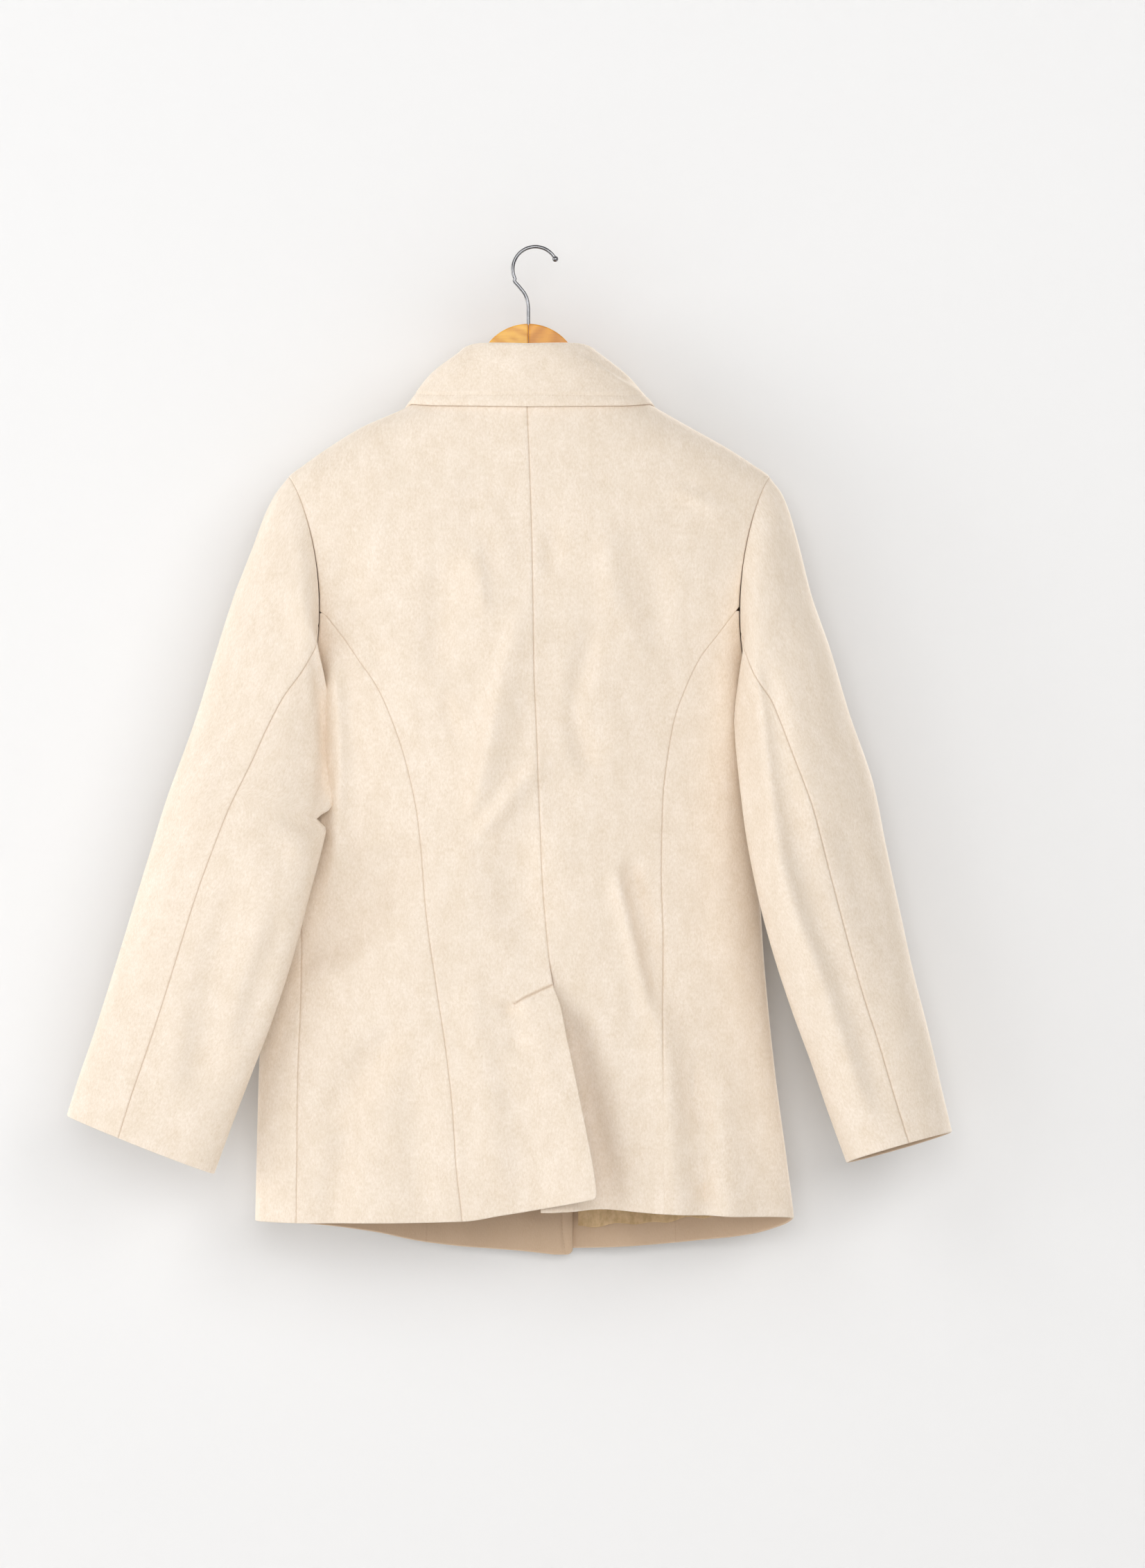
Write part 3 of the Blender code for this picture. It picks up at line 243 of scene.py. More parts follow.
BACK_FOLDS = (
    Fold(((-600, -194, 16, 0), (-565, -184, 17, 1.6), (-530, -179, 18, 2.6), (-500, -176.5, 17, 3.4),
          (-455, -175.5, 17, 3.6), (-413, -177.5, 17, 3.4), (-380, -182, 16, 2.2), (-352, -187, 16, 0))),
    Fold(((-530, -58, 20, 0), (-490, -50, 24, 3.2), (-440, -39, 26, 3.6), (-385, -28, 26, 2.6),
          (-340, -15, 22, 1.2), (-310, -6, 20, 0)), 0.4),
    Fold(((-536, -64, 16, 0), (-520, -49, 17, 2.6), (-495, -25, 16, 2.8), (-470, -2, 14, 1.6),
          (-455, 12, 12, 0)), 0.35),
    Fold(((-535, -62, 12, 0), (-524, -56, 14, -2), (-505, -38, 12, -1.6), (-485, -20, 10, 0))),
    Fold(((-645, 0, 50, 0), (-600, -8, 52, -3), (-560, -14, 50, -3.4), (-525, -16, 44, -2),
          (-500, -18, 40, 0))),
    Fold(((-342, -44, 16, 0), (-315, -48, 18, 1.6), (-285, -54, 18, 1.4), (-262, -58, 16, 0))),
    Fold(((-405, -87, 26, 0), (-360, -85, 30, -2.2), (-310, -81, 30, -2.2), (-268, -79, 26, 0))),
    Fold(((-458, -67, 14, 0), (-435, -71, 14, -1.5), (-415, -77, 14, -1.3), (-396, -80, 12, 0))),
    Fold(((-300, 12, 12, 0), (-282, 14, 13, -1.5), (-262, 17, 12, -1.2), (-244, 18, 10, 0))),
    Fold(((-427, 32, 16, 0), (-395, 39, 18, -1.7), (-365, 46, 18, -1.7), (-333, 52, 14, 0))),
    Fold(((-476, 49, 14, 0), (-455, 44, 16, -1.9), (-430, 37, 16, -1.6), (-406, 31, 12, 0))),
    Fold(((-352, 72, 22, 0), (-315, 70, 24, 1.5), (-275, 68, 24, 1.4), (-243, 66, 20, 0))),
    Fold(((-705, 105, 14, 0), (-660, 97, 14, 2.2), (-610, 86, 13, 3.2), (-575, 77, 12, 2.6),
          (-554, 74, 12, 0)), -0.3),
    Fold(((-685, 112, 24, 0), (-640, 104, 24, -2.8), (-590, 93, 20, -3.2), (-562, 87, 16, -2.8),
          (-544, 85, 14, 0))),
    Fold(((-930, 128, 36, 1), (-860, 126, 34, 2.5), (-800, 123, 32, 3.5), (-750, 120, 30, 3.2),
          (-700, 112, 26, 2.6), (-650, 100, 22, 0))),
    Fold(((-812, 148, 18, 0), (-785, 146, 20, -3.5), (-755, 141, 20, -3.8), (-730, 137, 16, -2),
          (-710, 134, 12, 0)), 0.2),
    Fold(((-930, 158, 22, -1.5), (-885, 154, 20, -2.8), (-850, 151, 18, -3.2), (-830, 148, 16, -2.4),
          (-812, 146, 14, 0))),
    Fold(((-930, 178, 34, 2.5), (-860, 174, 32, 2.5), (-790, 168, 30, 2.2), (-715, 160, 30, 0))),
    Fold(((-660, -198, 50, 0), (-630, -182, 54, -4.6), (-590, -151, 54, -5.4), (-555, -126, 46, -3.2),
          (-528, -110, 40, 0)), -0.2),
    Fold(((-804, -186, 34, 0), (-775, -172, 38, -3.8), (-740, -151, 36, -4.2), (-712, -134, 30, -2.5),
          (-692, -126, 26, 0)), -0.2),
    Fold(((-930, -184, 30, -0.8), (-880, -180, 30, -1.6), (-845, -176, 30, -2.8), (-800, -166, 28, -2.8),
          (-772, -159, 24, 0))),
    Fold(((-336, -163, 24, 0), (-310, -165, 26, -1.8), (-285, -166, 26, -1.6), (-258, -168, 22, 0))),
    Fold(((-380, -140, 20, 0), (-364, -140, 22, -1.6), (-346, -141, 20, 0))),
    Fold(((-376, 106, 26, 0), (-340, 107, 30, -1.8), (-300, 107, 28, -1.6), (-272, 107, 24, 0))),
    Fold(((-240, 160, 12, 0), (-232, 152, 12, 1.2), (-222, 137, 12, 1.4), (-214, 126, 10, 0))),
    VENT_TROUGH,
    Fold(((-727, -14, 14, 0), (-713, -16, 16, -1.4), (-699, -18, 14, 0))),
    Fold(((-694, -22, 14, 0), (-683, -22, 16, -1.8), (-671, -22, 12, 0))),
    Fold(((-860, -40, 30, 0), (-800, -36, 34, 1.6), (-740, -44, 34, 1.8), (-690, -54, 30, 1.2),
          (-640, -60, 26, 0))),
    Fold(((-900, -98, 34, 0), (-830, -104, 38, -1.8), (-760, -106, 36, -1.8), (-700, -108, 30, 0))),
)

FRONT_FOLDS = (
    Fold(((-520, 62, 20, 0), (-480, 54, 24, 2.8), (-430, 46, 26, 3), (-380, 40, 24, 2),
          (-335, 36, 20, 0))),
    Fold(((-470, -74, 18, 0), (-440, -66, 20, 2.2), (-400, -60, 22, 2.6), (-350, -56, 20, 1.2),
          (-315, -52, 18, 0))),
    Fold(((-640, -150, 40, 0), (-600, -128, 44, -3.6), (-560, -104, 40, -3.6), (-525, -86, 34, 0))),
    Fold(((-650, 148, 40, 0), (-605, 130, 42, -3.2), (-565, 110, 38, -3.4), (-530, 94, 32, 0))),
    Fold(((-930, -150, 30, 2), (-860, -146, 32, 3), (-780, -138, 32, 2.6), (-700, -128, 28, 0))),
    Fold(((-930, 84, 34, -2), (-860, 82, 34, -3.2), (-780, 76, 30, -2.8), (-710, 70, 26, 0))),
    Fold(((-930, -66, 28, -1.6), (-870, -64, 28, -2.6), (-800, -60, 26, -2.2), (-740, -58, 22, 0))),
    Fold(((-930, 158, 30, 1.6), (-850, 152, 30, 2.6), (-770, 148, 28, 2), (-700, 142, 24, 0))),
    Fold(((-360, -132, 24, 0), (-325, -128, 28, -2), (-285, -124, 26, -1.6), (-255, -120, 22, 0))),
    Fold(((-355, 118, 24, 0), (-318, 120, 26, -1.8), (-280, 122, 26, -1.8), (-250, 124, 22, 0))),
)

LEFT_SLEEVE_FOLDS = (
    Fold(((-535, -200, 16, 0), (-500, -191, 15, -3.6), (-455, -187.5, 14, -6), (-413, -190, 14, -6.2),
          (-378, -194, 14, -4.4), (-345, -198, 14, 0)), 0.3),
    Fold(((-775, -305, 34, 0), (-735, -298, 38, -4.2), (-660, -285, 40, -4.8), (-600, -274, 36, -3.8),
          (-548, -266, 28, 0)), 0.25),
    Fold(((-728, -265, 24, 0), (-700, -257, 26, -2.8), (-650, -242, 26, -3.2), (-610, -230, 22, -2),
          (-583, -224, 18, 0)), 0.2),
    Fold(((-385, -222, 20, 0), (-340, -223, 24, -2), (-290, -220, 22, -1.8), (-258, -217, 16, 0))),
    Fold(((-525, -196, 18, 0), (-519, -204, 16, -2.6), (-512, -214, 14, -1.6), (-506, -226, 12, 0))),
    Fold(((-560, -206, 26, 0), (-540, -208, 28, 2.4), (-520, -212, 24, 0))),
    Fold(((-700, -352, 26, 0), (-620, -336, 30, 1.6), (-520, -306, 30, 1.8), (-430, -280, 26, 0))),
)

RIGHT_SLEEVE_FOLDS = (
    Fold(((-790, 300, 20, 0), (-735, 281, 22, 2.4), (-660, 256, 22, 3.4), (-598, 232, 22, 4.4),
          (-545, 217, 22, 4.8), (-471, 206, 20, 4.2), (-400, 198, 16, 2.6), (-353, 192, 12, 0)), -0.2),
    Fold(((-800, 320, 24, 0), (-740, 301, 26, -2.4), (-660, 275, 28, -3), (-598, 251, 28, -3.6),
          (-545, 237, 26, -3.6), (-471, 223, 24, -3), (-400, 212, 18, -2), (-358, 205, 14, 0))),
    Fold(((-640, 306, 26, 0), (-590, 296, 28, -1.8), (-540, 284, 26, -1.6), (-500, 274, 22, 0))),
    Fold(((-330, 236, 20, 0), (-300, 232, 22, -1.6), (-270, 226, 20, -1.2), (-245, 220, 16, 0))),
    Fold(((-780, 345, 22, 0), (-720, 334, 26, 1.8), (-650, 318, 26, 1.4), (-600, 306, 22, 0))),
)


# ================================================================ the coat's form
BODY_SECTIONS = Table(
    ("z", "left", "right", "back", "front", "edge"),
    (
        (-930, -253, 236.5, 50, 53, 0),
        (-875, -252, 233, 49, 52, 0),
        (-825, -251, 227, 49, 52, 2),
        (-742, -249, 216, 50, 53, 5),
        (-640, -240, 206, 52, 54, 9),
        (-560, -226, 201, 54, 56, 11),
        (-494, -212, 196, 56, 58, 10),
        (-440, -205, 192, 59, 60, 6),
        (-380, -203, 191, 60, 61, 0),
        (-330, -222, 209, 59, 60, 0),
        (-290, -238, 225, 58, 58, 0),
        (-255, -241, 228, 56, 56, 0),
        (-225, -235, 223, 54, 54, 0),
        (-205.5, -222, 211, 52, 52, 0),
        (-195.5, -209, 197, 51, 51, 0),
        (-180, -187, 173, 50, 50, 0),
        (-161.5, -157, 140, 48, 48, 0),
        (-142, -113.5, 105.5, 46, 46, 0),
        (-128, -91, 80, 43, 43, 0),
        (-112, -72, 60, 41, 41, 0),
        (-100, -62, 50, 40, 40, 0),
    ),
)


@dataclass
class BodyForm:
    """The outer face of the coat's body, from the neck down to the hem.

    A place on it has a turn round the coat (0 is the back, -90 the wearer's left) and a height.
    """

    sections: Table = BODY_SECTIONS
    back_folds: tuple[Fold, ...] = BACK_FOLDS
    front_folds: tuple[Fold, ...] = FRONT_FOLDS
    fold_strength: float = 2.5
    fold_from: float = -165.0
    uneven: Unevenness = field(default_factory=lambda: Unevenness(seed=7))
    neck_side_z: float = -112.0
    neck_back_drop: float = 9.0
    neck_front_drop: float = 56.0
    neck_front_shape: float = 4.0
    neck_warp_from: float = -205.5
    hem_z: float = -875.0
    hem_warp_from: float = -740.0
    ring_shape: float = 1.6

    def __post_init__(self) -> None:
        """Read the sections as curves."""
        self.at = self.sections.curves()

    def half_and_middle(self, z: Array) -> tuple[Array, Array]:
        """Half width and middle of the section at a height."""
        left, right = self.at["left"](z), self.at["right"](z)
        return (right - left) / 2, (right + left) / 2

    def point(self, turn: Array, z: Array) -> Array:
        """Points of the outer face."""
        half, middle = self.half_and_middle(z)
        s, c = sine(turn), cosine(turn)
        x = middle + half * s
        depth = np.where(c > 0, self.at["back"](z), self.at["front"](z))
        low = 1 - smoothstep(z, self.fold_from - 60, self.fold_from)
        uneven = self.uneven.height_at(x, z)
        back = (self.fold_strength * fold_sum(self.back_folds, x, z) + uneven) * smoothstep(c, 0.0, 0.4)
        front = (fold_sum(self.front_folds, x, z) - uneven) * smoothstep(-c, 0.0, 0.4)
        return stacked(x, -c * depth + self.at["edge"](z) * s * s + (front - back) * low, z)

    def normal(self, turn: Array, z: Array) -> Array:
        """Unit normals of the outer face, pointing away from the coat."""
        return normals_of(self.point, turn, z)

    def turn_at(self, x: Array, z: Array, over: Side | None = None) -> Array:
        """Turn of a place by its position across: on the back, or on the front, counted over a side."""
        half, middle = self.half_and_middle(z)
        turn = np.degrees(np.arcsin(np.clip((x - middle) / half, -1, 1)))
        return turn if over is None else over.value * 180.0 - turn

    def neck_z(self, turn: Array) -> Array:
        """Height of the neck seam."""
        c = cosine(turn)
        front = self.neck_front_drop * np.maximum(-c, 0) ** self.neck_front_shape
        return self.neck_side_z - self.neck_back_drop * np.maximum(c, 0) - front

    def warped_z(self, turn: Array, level: Array, hem: Curve) -> Array:
        """Height of a row: level, but for the rows that follow the hem or the neck.

        Args:
            turn: Turns along the row.
            level: The row's own height.
            hem: Height of the hem by turn.

        Returns:
            Heights of the row's points.
        """
        near_hem = smoothstep(level, self.hem_warp_from, self.hem_z)
        near_neck = smoothstep(level, self.neck_warp_from, self.neck_side_z)
        neck = self.neck_z(turn) - self.neck_side_z
        return level + (hem(turn) - self.hem_z) * near_hem + neck * near_neck

    def armhole_x(self, ring: Row, z: Array, front: bool) -> Array:
        """Position across of an armhole's back or front edge, from the first row of the sleeve's table."""
        ox, oz, ix, iz = ring[1], ring[3], ring[4], ring[6]
        level = np.clip((z - (oz + iz) / 2) / ((oz - iz) / 2), -1, 1)
        fullness = ring[10] if front else ring[9]
        return (ox + ix) / 2 + (ox - ix) / 2 * level + fullness * (1 - level ** 2) ** (self.ring_shape / 2)

    def kept_outside(self, points: Array, clearance: Array) -> Array:
        """Push points of another piece that would lie in the body out to a clearance off its face."""
        z = points[..., 2]
        half, middle = self.half_and_middle(z)
        u = (points[..., 0] - middle) / half
        y = points[..., 1] - self.at["edge"](z) * np.minimum(u * u, 1.0)
        depth = np.where(y < 0, self.at["back"](z), self.at["front"](z))
        v = y / depth
        r = np.maximum(np.hypot(u, v), 1e-6)
        steep = np.hypot(u / (r * half), v / (r * depth))
        least = 1 + clearance * steep
        soft = 2.0 * steep
        short = np.clip(0.5 + 0.5 * (least - r) / soft, 0.0, 1.0)
        scale = (r * (1 - short) + least * short + soft * short * (1 - short)) / r
        u, v = u * scale, v * scale
        return stacked(middle + half * u, v * depth + self.at["edge"](z) * np.minimum(u ** 2, 1.0), z)


# ================================================================ meshes
def placed(name: str, data: bpy.types.ID) -> Thing:
    """Link a new object that holds a mesh, a curve, a light or a camera."""
    made = bpy.data.objects.new(name, data)
    bpy.context.scene.collection.objects.link(made)
    return made


def reworked(mesh: bpy.types.Mesh, change: Callable[[bmesh.types.BMesh], object]) -> None:
    """Change a mesh by a function of its edited form."""
    work = bmesh.new()
    work.from_mesh(mesh)
    change(work)
    work.to_mesh(mesh)
    work.free()


def turned_out(mesh: bpy.types.Mesh) -> None:
    """Point all faces away from the inside."""
    reworked(mesh, lambda work: bmesh.ops.recalc_face_normals(work, faces=work.faces))


def smoothed(mesh: bpy.types.Mesh, sharp: float | None = None) -> None:
    """Shade a mesh softly, but for edges sharper than an angle."""
    mesh.shade_smooth()
    if sharp is not None:
        mesh.set_sharp_from_angle(angle=math.radians(sharp))


def settled(made: Thing) -> Thing:
    """Apply an object's modifiers and place to its mesh."""
    bpy.context.view_layer.update()
    mesh = bpy.data.meshes.new_from_object(made.evaluated_get(bpy.context.evaluated_depsgraph_get()))
    mesh.transform(made.matrix_world)
    name = made.name
    bpy.data.objects.remove(made)
    mesh.name = name
    return placed(name, mesh)


def modified(made: Thing, kind: str, **settings: object) -> Thing:
    """Change an object's mesh with one modifier."""
    change = made.modifiers.new(kind.lower(), kind)
    for name, value in settings.items():
        setattr(change, name, value)
    return settled(made)


def bored(made: Thing, at: Triple, radius: float, depth: float, sides: int) -> Thing:
    """Bore an upright round hole.

    Args:
        made: The piece.
        at: Middle of the drill.
        radius: The hole's radius.
        depth: The drill's length.
        sides: Faces round the hole.

    Returns:
        The bored piece.
    """
    bpy.ops.mesh.primitive_cylinder_add(vertices=sides, radius=radius * MM, depth=depth * MM,
                                        location=[c * MM for c in at])
    drill = bpy.context.object
    made = modified(made, "BOOLEAN", operation="DIFFERENCE", object=drill)
    bpy.data.objects.remove(drill)
    return made


def tube_mesh(name: str, path: Array, radius: float, sides: int, closed: bool = False) -> Thing:
    """Make a round tube along points.

    Args:
        name: The piece's name.
        path: Points along the middle.
        radius: The tube's radius.
        sides: Faces round it.
        closed: Whether the path is a loop.

    Returns:
        The linked object.
    """
    path = np.asarray(path, float)
    ahead = np.roll(path, -1, axis=0) - np.roll(path, 1, axis=0)
    if not closed:
        ahead[0], ahead[-1] = path[1] - path[0], path[-1] - path[-2]
    ahead = unit(ahead)
    aside = unit(np.cross(ahead, np.array((0.31, 0.89, 0.33))))
    other = np.cross(ahead, aside)
    angles = np.linspace(0, 2 * math.pi, sides, endpoint=False)
    rings = [p + radius * (a * np.cos(angles)[:, None] + o * np.sin(angles)[:, None])
             for p, a, o in zip(path, aside, other)]
    count = len(path)
    faces = []
    for i in range(count if closed else count - 1):
        low, high = i * sides, (i + 1) % count * sides
        faces += [(low + k, low + (k + 1) % sides, high + (k + 1) % sides, high + k) for k in range(sides)]
    if not closed:
        faces.append(tuple(range(sides))[::-1])
        faces.append(tuple(range((count - 1) * sides, count * sides)))
    mesh = bpy.data.meshes.new(name)
    mesh.from_pydata((np.concatenate(rings) * MM).tolist(), [], faces)
    turned_out(mesh)
    smoothed(mesh)
    return placed(name, mesh)


def joined(name: str, parts: list[Thing]) -> Thing:
    """Join several mesh objects into one."""
    mesh = bpy.data.meshes.new(name)
    for part in parts:
        part.data.transform(part.matrix_basis)
        reworked(mesh, lambda work: work.from_mesh(part.data))
        bpy.data.objects.remove(part)
    smoothed(mesh)
    return placed(name, mesh)


def dress(made: Thing, finish: bpy.types.Material, node: str | None = None,
          cut: Triple | None = None) -> None:
    """Finish a piece and seat it in the frame.

    Args:
        made: The piece.
        finish: Its material.
        node: CAD node that the piece stands for.
        cut: Width, length and area in metres of what shows of a sheet of cloth; not used.
    """
    made.data.materials.clear()
    made.data.materials.append(finish)
    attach(made, "root")
    if node:
        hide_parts(node)
    surface = sum(face.area for face in made.data.polygons)
    LOG.info("%s: %d faces, %.4f square metres", made.name, len(made.data.polygons), surface)


# ================================================================ walls of cloth
EDGE_STEPS = (0.0, 0.3, 0.7, 1.2, 1.9, 2.8, 4.0, 5.8)
STITCH_STEPS = (0.0, 0.3, 0.7, 1.2, 1.9, 3.0, 4.6, 6.6, 8.3, 9.2, 10.0, 10.8, 11.7, 13.5)
BAR_STEPS = EDGE_STEPS + tuple(7.0 + 1.15 * k for k in range(30))
BAR_ROWS = tuple(-684.0 + 0.8 * k for k in range(34))
UNSEWN = (False, False, False, False)
FAR = 5000.0


def spread(widths: Array, count: int, left: Row, right: Row) -> Array:
    """Place columns across a piece, close together at its edges.

    Args:
        widths: Width of each row, as one column.
        count: Columns between the two close groups.
        left: Distances from the left edge.
        right: Distances from the right edge.

    Returns:
        Parts of the width, one row for each width.
    """
    shrink = np.minimum(1.0, 0.35 * widths / max(left[-1], right[-1], 1e-6))
    from_left = np.array(left)[None, :] * shrink
    from_right = widths - np.array(right)[None, ::-1] * shrink
    t = np.linspace(0.0, 1.0, count + 2)[None, 1:-1]
    middle = from_left[:, -1:] * (1 - t) + from_right[:, :1] * t
    return np.concatenate((from_left, middle, from_right), axis=1) / widths


def steps_between(low: float, high: float, step: float, marks: Row = ()) -> Array:
    """Heights from low to high about a step apart, with the marks among them."""
    stops = sorted({low, high, *(m for m in marks if low < m < high)})
    levels = [stops[0]]
    for a, b in zip(stops, stops[1:]):
        count = max(1, round((b - a) / step))
        levels += [a + (b - a) * (k + 1) / count for k in range(count)]
    return np.array(levels)


def rounded(distance: Array, radius: float) -> Array:
    """How far a face drops at a distance from a rounded edge."""
    part = np.clip(1 - distance / radius, 0.0, 1.0)
    return radius * (1 - np.sqrt(1 - part ** 2 * 0.9999))


@dataclass
class Cloth:
    """A closed wall of cloth over a grid of points of its outer face.

    The edges are named left, right, low and high: the first and last columns, then the first and last rows.
    """

    name: str
    outer: Array
    outward: Array
    edges: tuple[Edge, Edge, Edge, Edge]
    thickness: float = 2.4
    stitched: Flags = UNSEWN
    turned_up: float = 0.0
    turn_up_thickness: float = 0.9
    least: float = 0.03
    seam_depth: float = 0.8
    seam_width: float = 2.8
    # Width of the painted shade along a seam.
    seam_mark: float = 0.6
    sewn_above: float = FAR
    faint_below: float = -FAR
    marked: Array | None = None
    stitch_in: float = 10.0
    groove: float = 0.75
    groove_width: float = 1.5
    edge_swell: float = 0.45
    inner_swell: float = 0.18
    upright: bool = False

    def distances(self) -> tuple[Array, Array, Array, Array]:
        """Distance of each point from the left, right, low and high edges, along its row or column."""
        left = np.pad(np.cumsum(lengths(self.outer, 1), axis=1), ((0, 0), (1, 0)))
        low = np.pad(np.cumsum(lengths(self.outer, 0), axis=0), ((1, 0), (0, 0)))
        return left, left[:, -1:] - left, low, low[-1:] - low

    def build(self) -> Thing:
        """Make the mesh object with its map and marks."""
        away = self.distances()
        LOG.info("%s: %.0f mm wide, %.0f mm long", self.name, away[0].max(), away[2].max())
        half, height, shape = self.thickness / 2, self.outer[..., 2], self.outer.shape[:2]
        kept, kept_inside = np.ones(shape), np.ones(shape)
        seam, run, puff, stitch = np.zeros(shape), np.zeros(shape), np.zeros(shape), np.full(shape, 50.0)
        full = 0.12 + 0.88 * smoothstep(height, self.faint_below - 45, self.faint_below + 25)
        for k, (edge, sewn) in enumerate(zip(self.edges, self.stitched)):
            loose = np.where((height > self.sewn_above) & (k < 2), 0.0, 1.0)
            if edge is Edge.FREE:
                drop = rounded(away[k], half) / half * loose
                kept *= 1 - drop
                kept_inside *= 1 - drop
            if edge is Edge.SEAM or (edge is Edge.FREE and loose.min() < 1):
                here = full if edge is Edge.SEAM else full * (1 - loose)
                near = np.clip(1 - away[k] / self.seam_width, 0.0, 1.0)
                kept *= 1 - self.seam_depth / half * near ** 2.4 * here
                # The seam mark lays painted shade along seams and the loose vent edge in the finish.
                seam = np.maximum(seam, bell(away[k], self.seam_mark) * here)
            if sewn:
                off, middle = away[k] - self.stitch_in, self.stitch_in / 2
                nearer = np.abs(off) < np.abs(stitch)
                run = np.where(nearer, away[2] if k < 2 else away[0], run)
                stitch = np.where(nearer, off, stitch)
                puff += self.edge_swell * bell(away[k] - middle, middle * 0.62)
                puff -= self.groove * bell(off, self.groove_width)
                puff += self.inner_swell * bell(off - 4.0, 2.2)
        # Extra marks, such as the slanted row of stitches, add painted shade too.
        if self.marked is not None:
            seam = np.maximum(seam, self.marked)
        doubled = np.zeros(shape)
        if self.turned_up > 0:
            beyond = smoothstep(away[2], self.turned_up - 2.5, self.turned_up)
            doubled = self.turn_up_thickness * (1 - beyond)
        drop_out = np.minimum(half * (1 - kept), half - self.least) - puff * kept
        drop_in = np.minimum((half + doubled) * (1 - kept_inside), half + doubled - self.least)
        outer = self.outer - self.outward * drop_out[..., None]
        wall = self.thickness + doubled - drop_in + puff * kept_inside
        inner = self.outer - self.outward * wall[..., None]
        column = away[0].shape[1] // 2
        u = away[0] - away[0][:, column:column + 1]
        v = np.broadcast_to(away[2].mean(axis=1, keepdims=True), u.shape)
        if self.upright:
            u = u + self.outer[:, column:column + 1, 0] * np.sign(self.outer[0, -1, 0] - self.outer[0, 0, 0])
            v = height
        return self.mesh_object(outer, inner, {"seam": seam, "stitch": stitch, "run": run}, u, v)

    def mesh_object(self, outer: Array, inner: Array, marks: dict[str, Array], u: Array, v: Array) -> Thing:
        """Make the object of two faces and the rim between them.

        Args:
            outer: Points of the outer face.
            inner: Points of the inner face.
            marks: Values of the outer face that the finish reads.
            u: Across place on the cloth.
            v: Place along the cloth.

        Returns:
            The linked object.
        """
        rows, columns = outer.shape[:2]
        shift = rows * columns
        at = np.arange(shift).reshape(rows, columns)
        quads = np.stack((at[:-1, :-1], at[:-1, 1:], at[1:, 1:], at[1:, :-1]), axis=-1).reshape(-1, 4)
        rim = np.concatenate((at[0, :-1], at[:-1, -1], at[-1, :0:-1], at[:0:-1, 0]))
        onward = np.roll(rim, -1)
        sides = np.stack((onward, rim, rim + shift, onward + shift), axis=-1)
        faces = np.concatenate((quads, quads[:, ::-1] + shift, sides))
        points = np.concatenate((outer.reshape(-1, 3), inner.reshape(-1, 3))) * MM
        mesh = bpy.data.meshes.new(self.name)
        mesh.from_pydata(points.tolist(), [], faces.tolist())
        flat = np.stack((u, v), axis=-1).reshape(-1, 2) * MM
        flat = np.concatenate((flat, flat + (0.013, 0.007)))
        corners = np.empty(len(mesh.loops), np.int32)
        mesh.loops.foreach_get("vertex_index", corners)
        layer = mesh.uv_layers.new(name="cloth")
        layer.data.foreach_set("uv", flat[corners].astype(np.float32).ravel())
        marks = {mark: np.tile(values.ravel(), 2) for mark, values in marks.items()}
        # The inner-face mark, which the wool uses to lay painted shade on the inner face.
        marks["inside"] = np.repeat((0.0, 1.0), shift)
        for mark, values in marks.items():
            layer = mesh.attributes.new(mark, "FLOAT", "POINT")
            layer.data.foreach_set("value", values.astype(np.float32))
        turned_out(mesh)
        smoothed(mesh, 62)
        return placed(self.name, mesh)


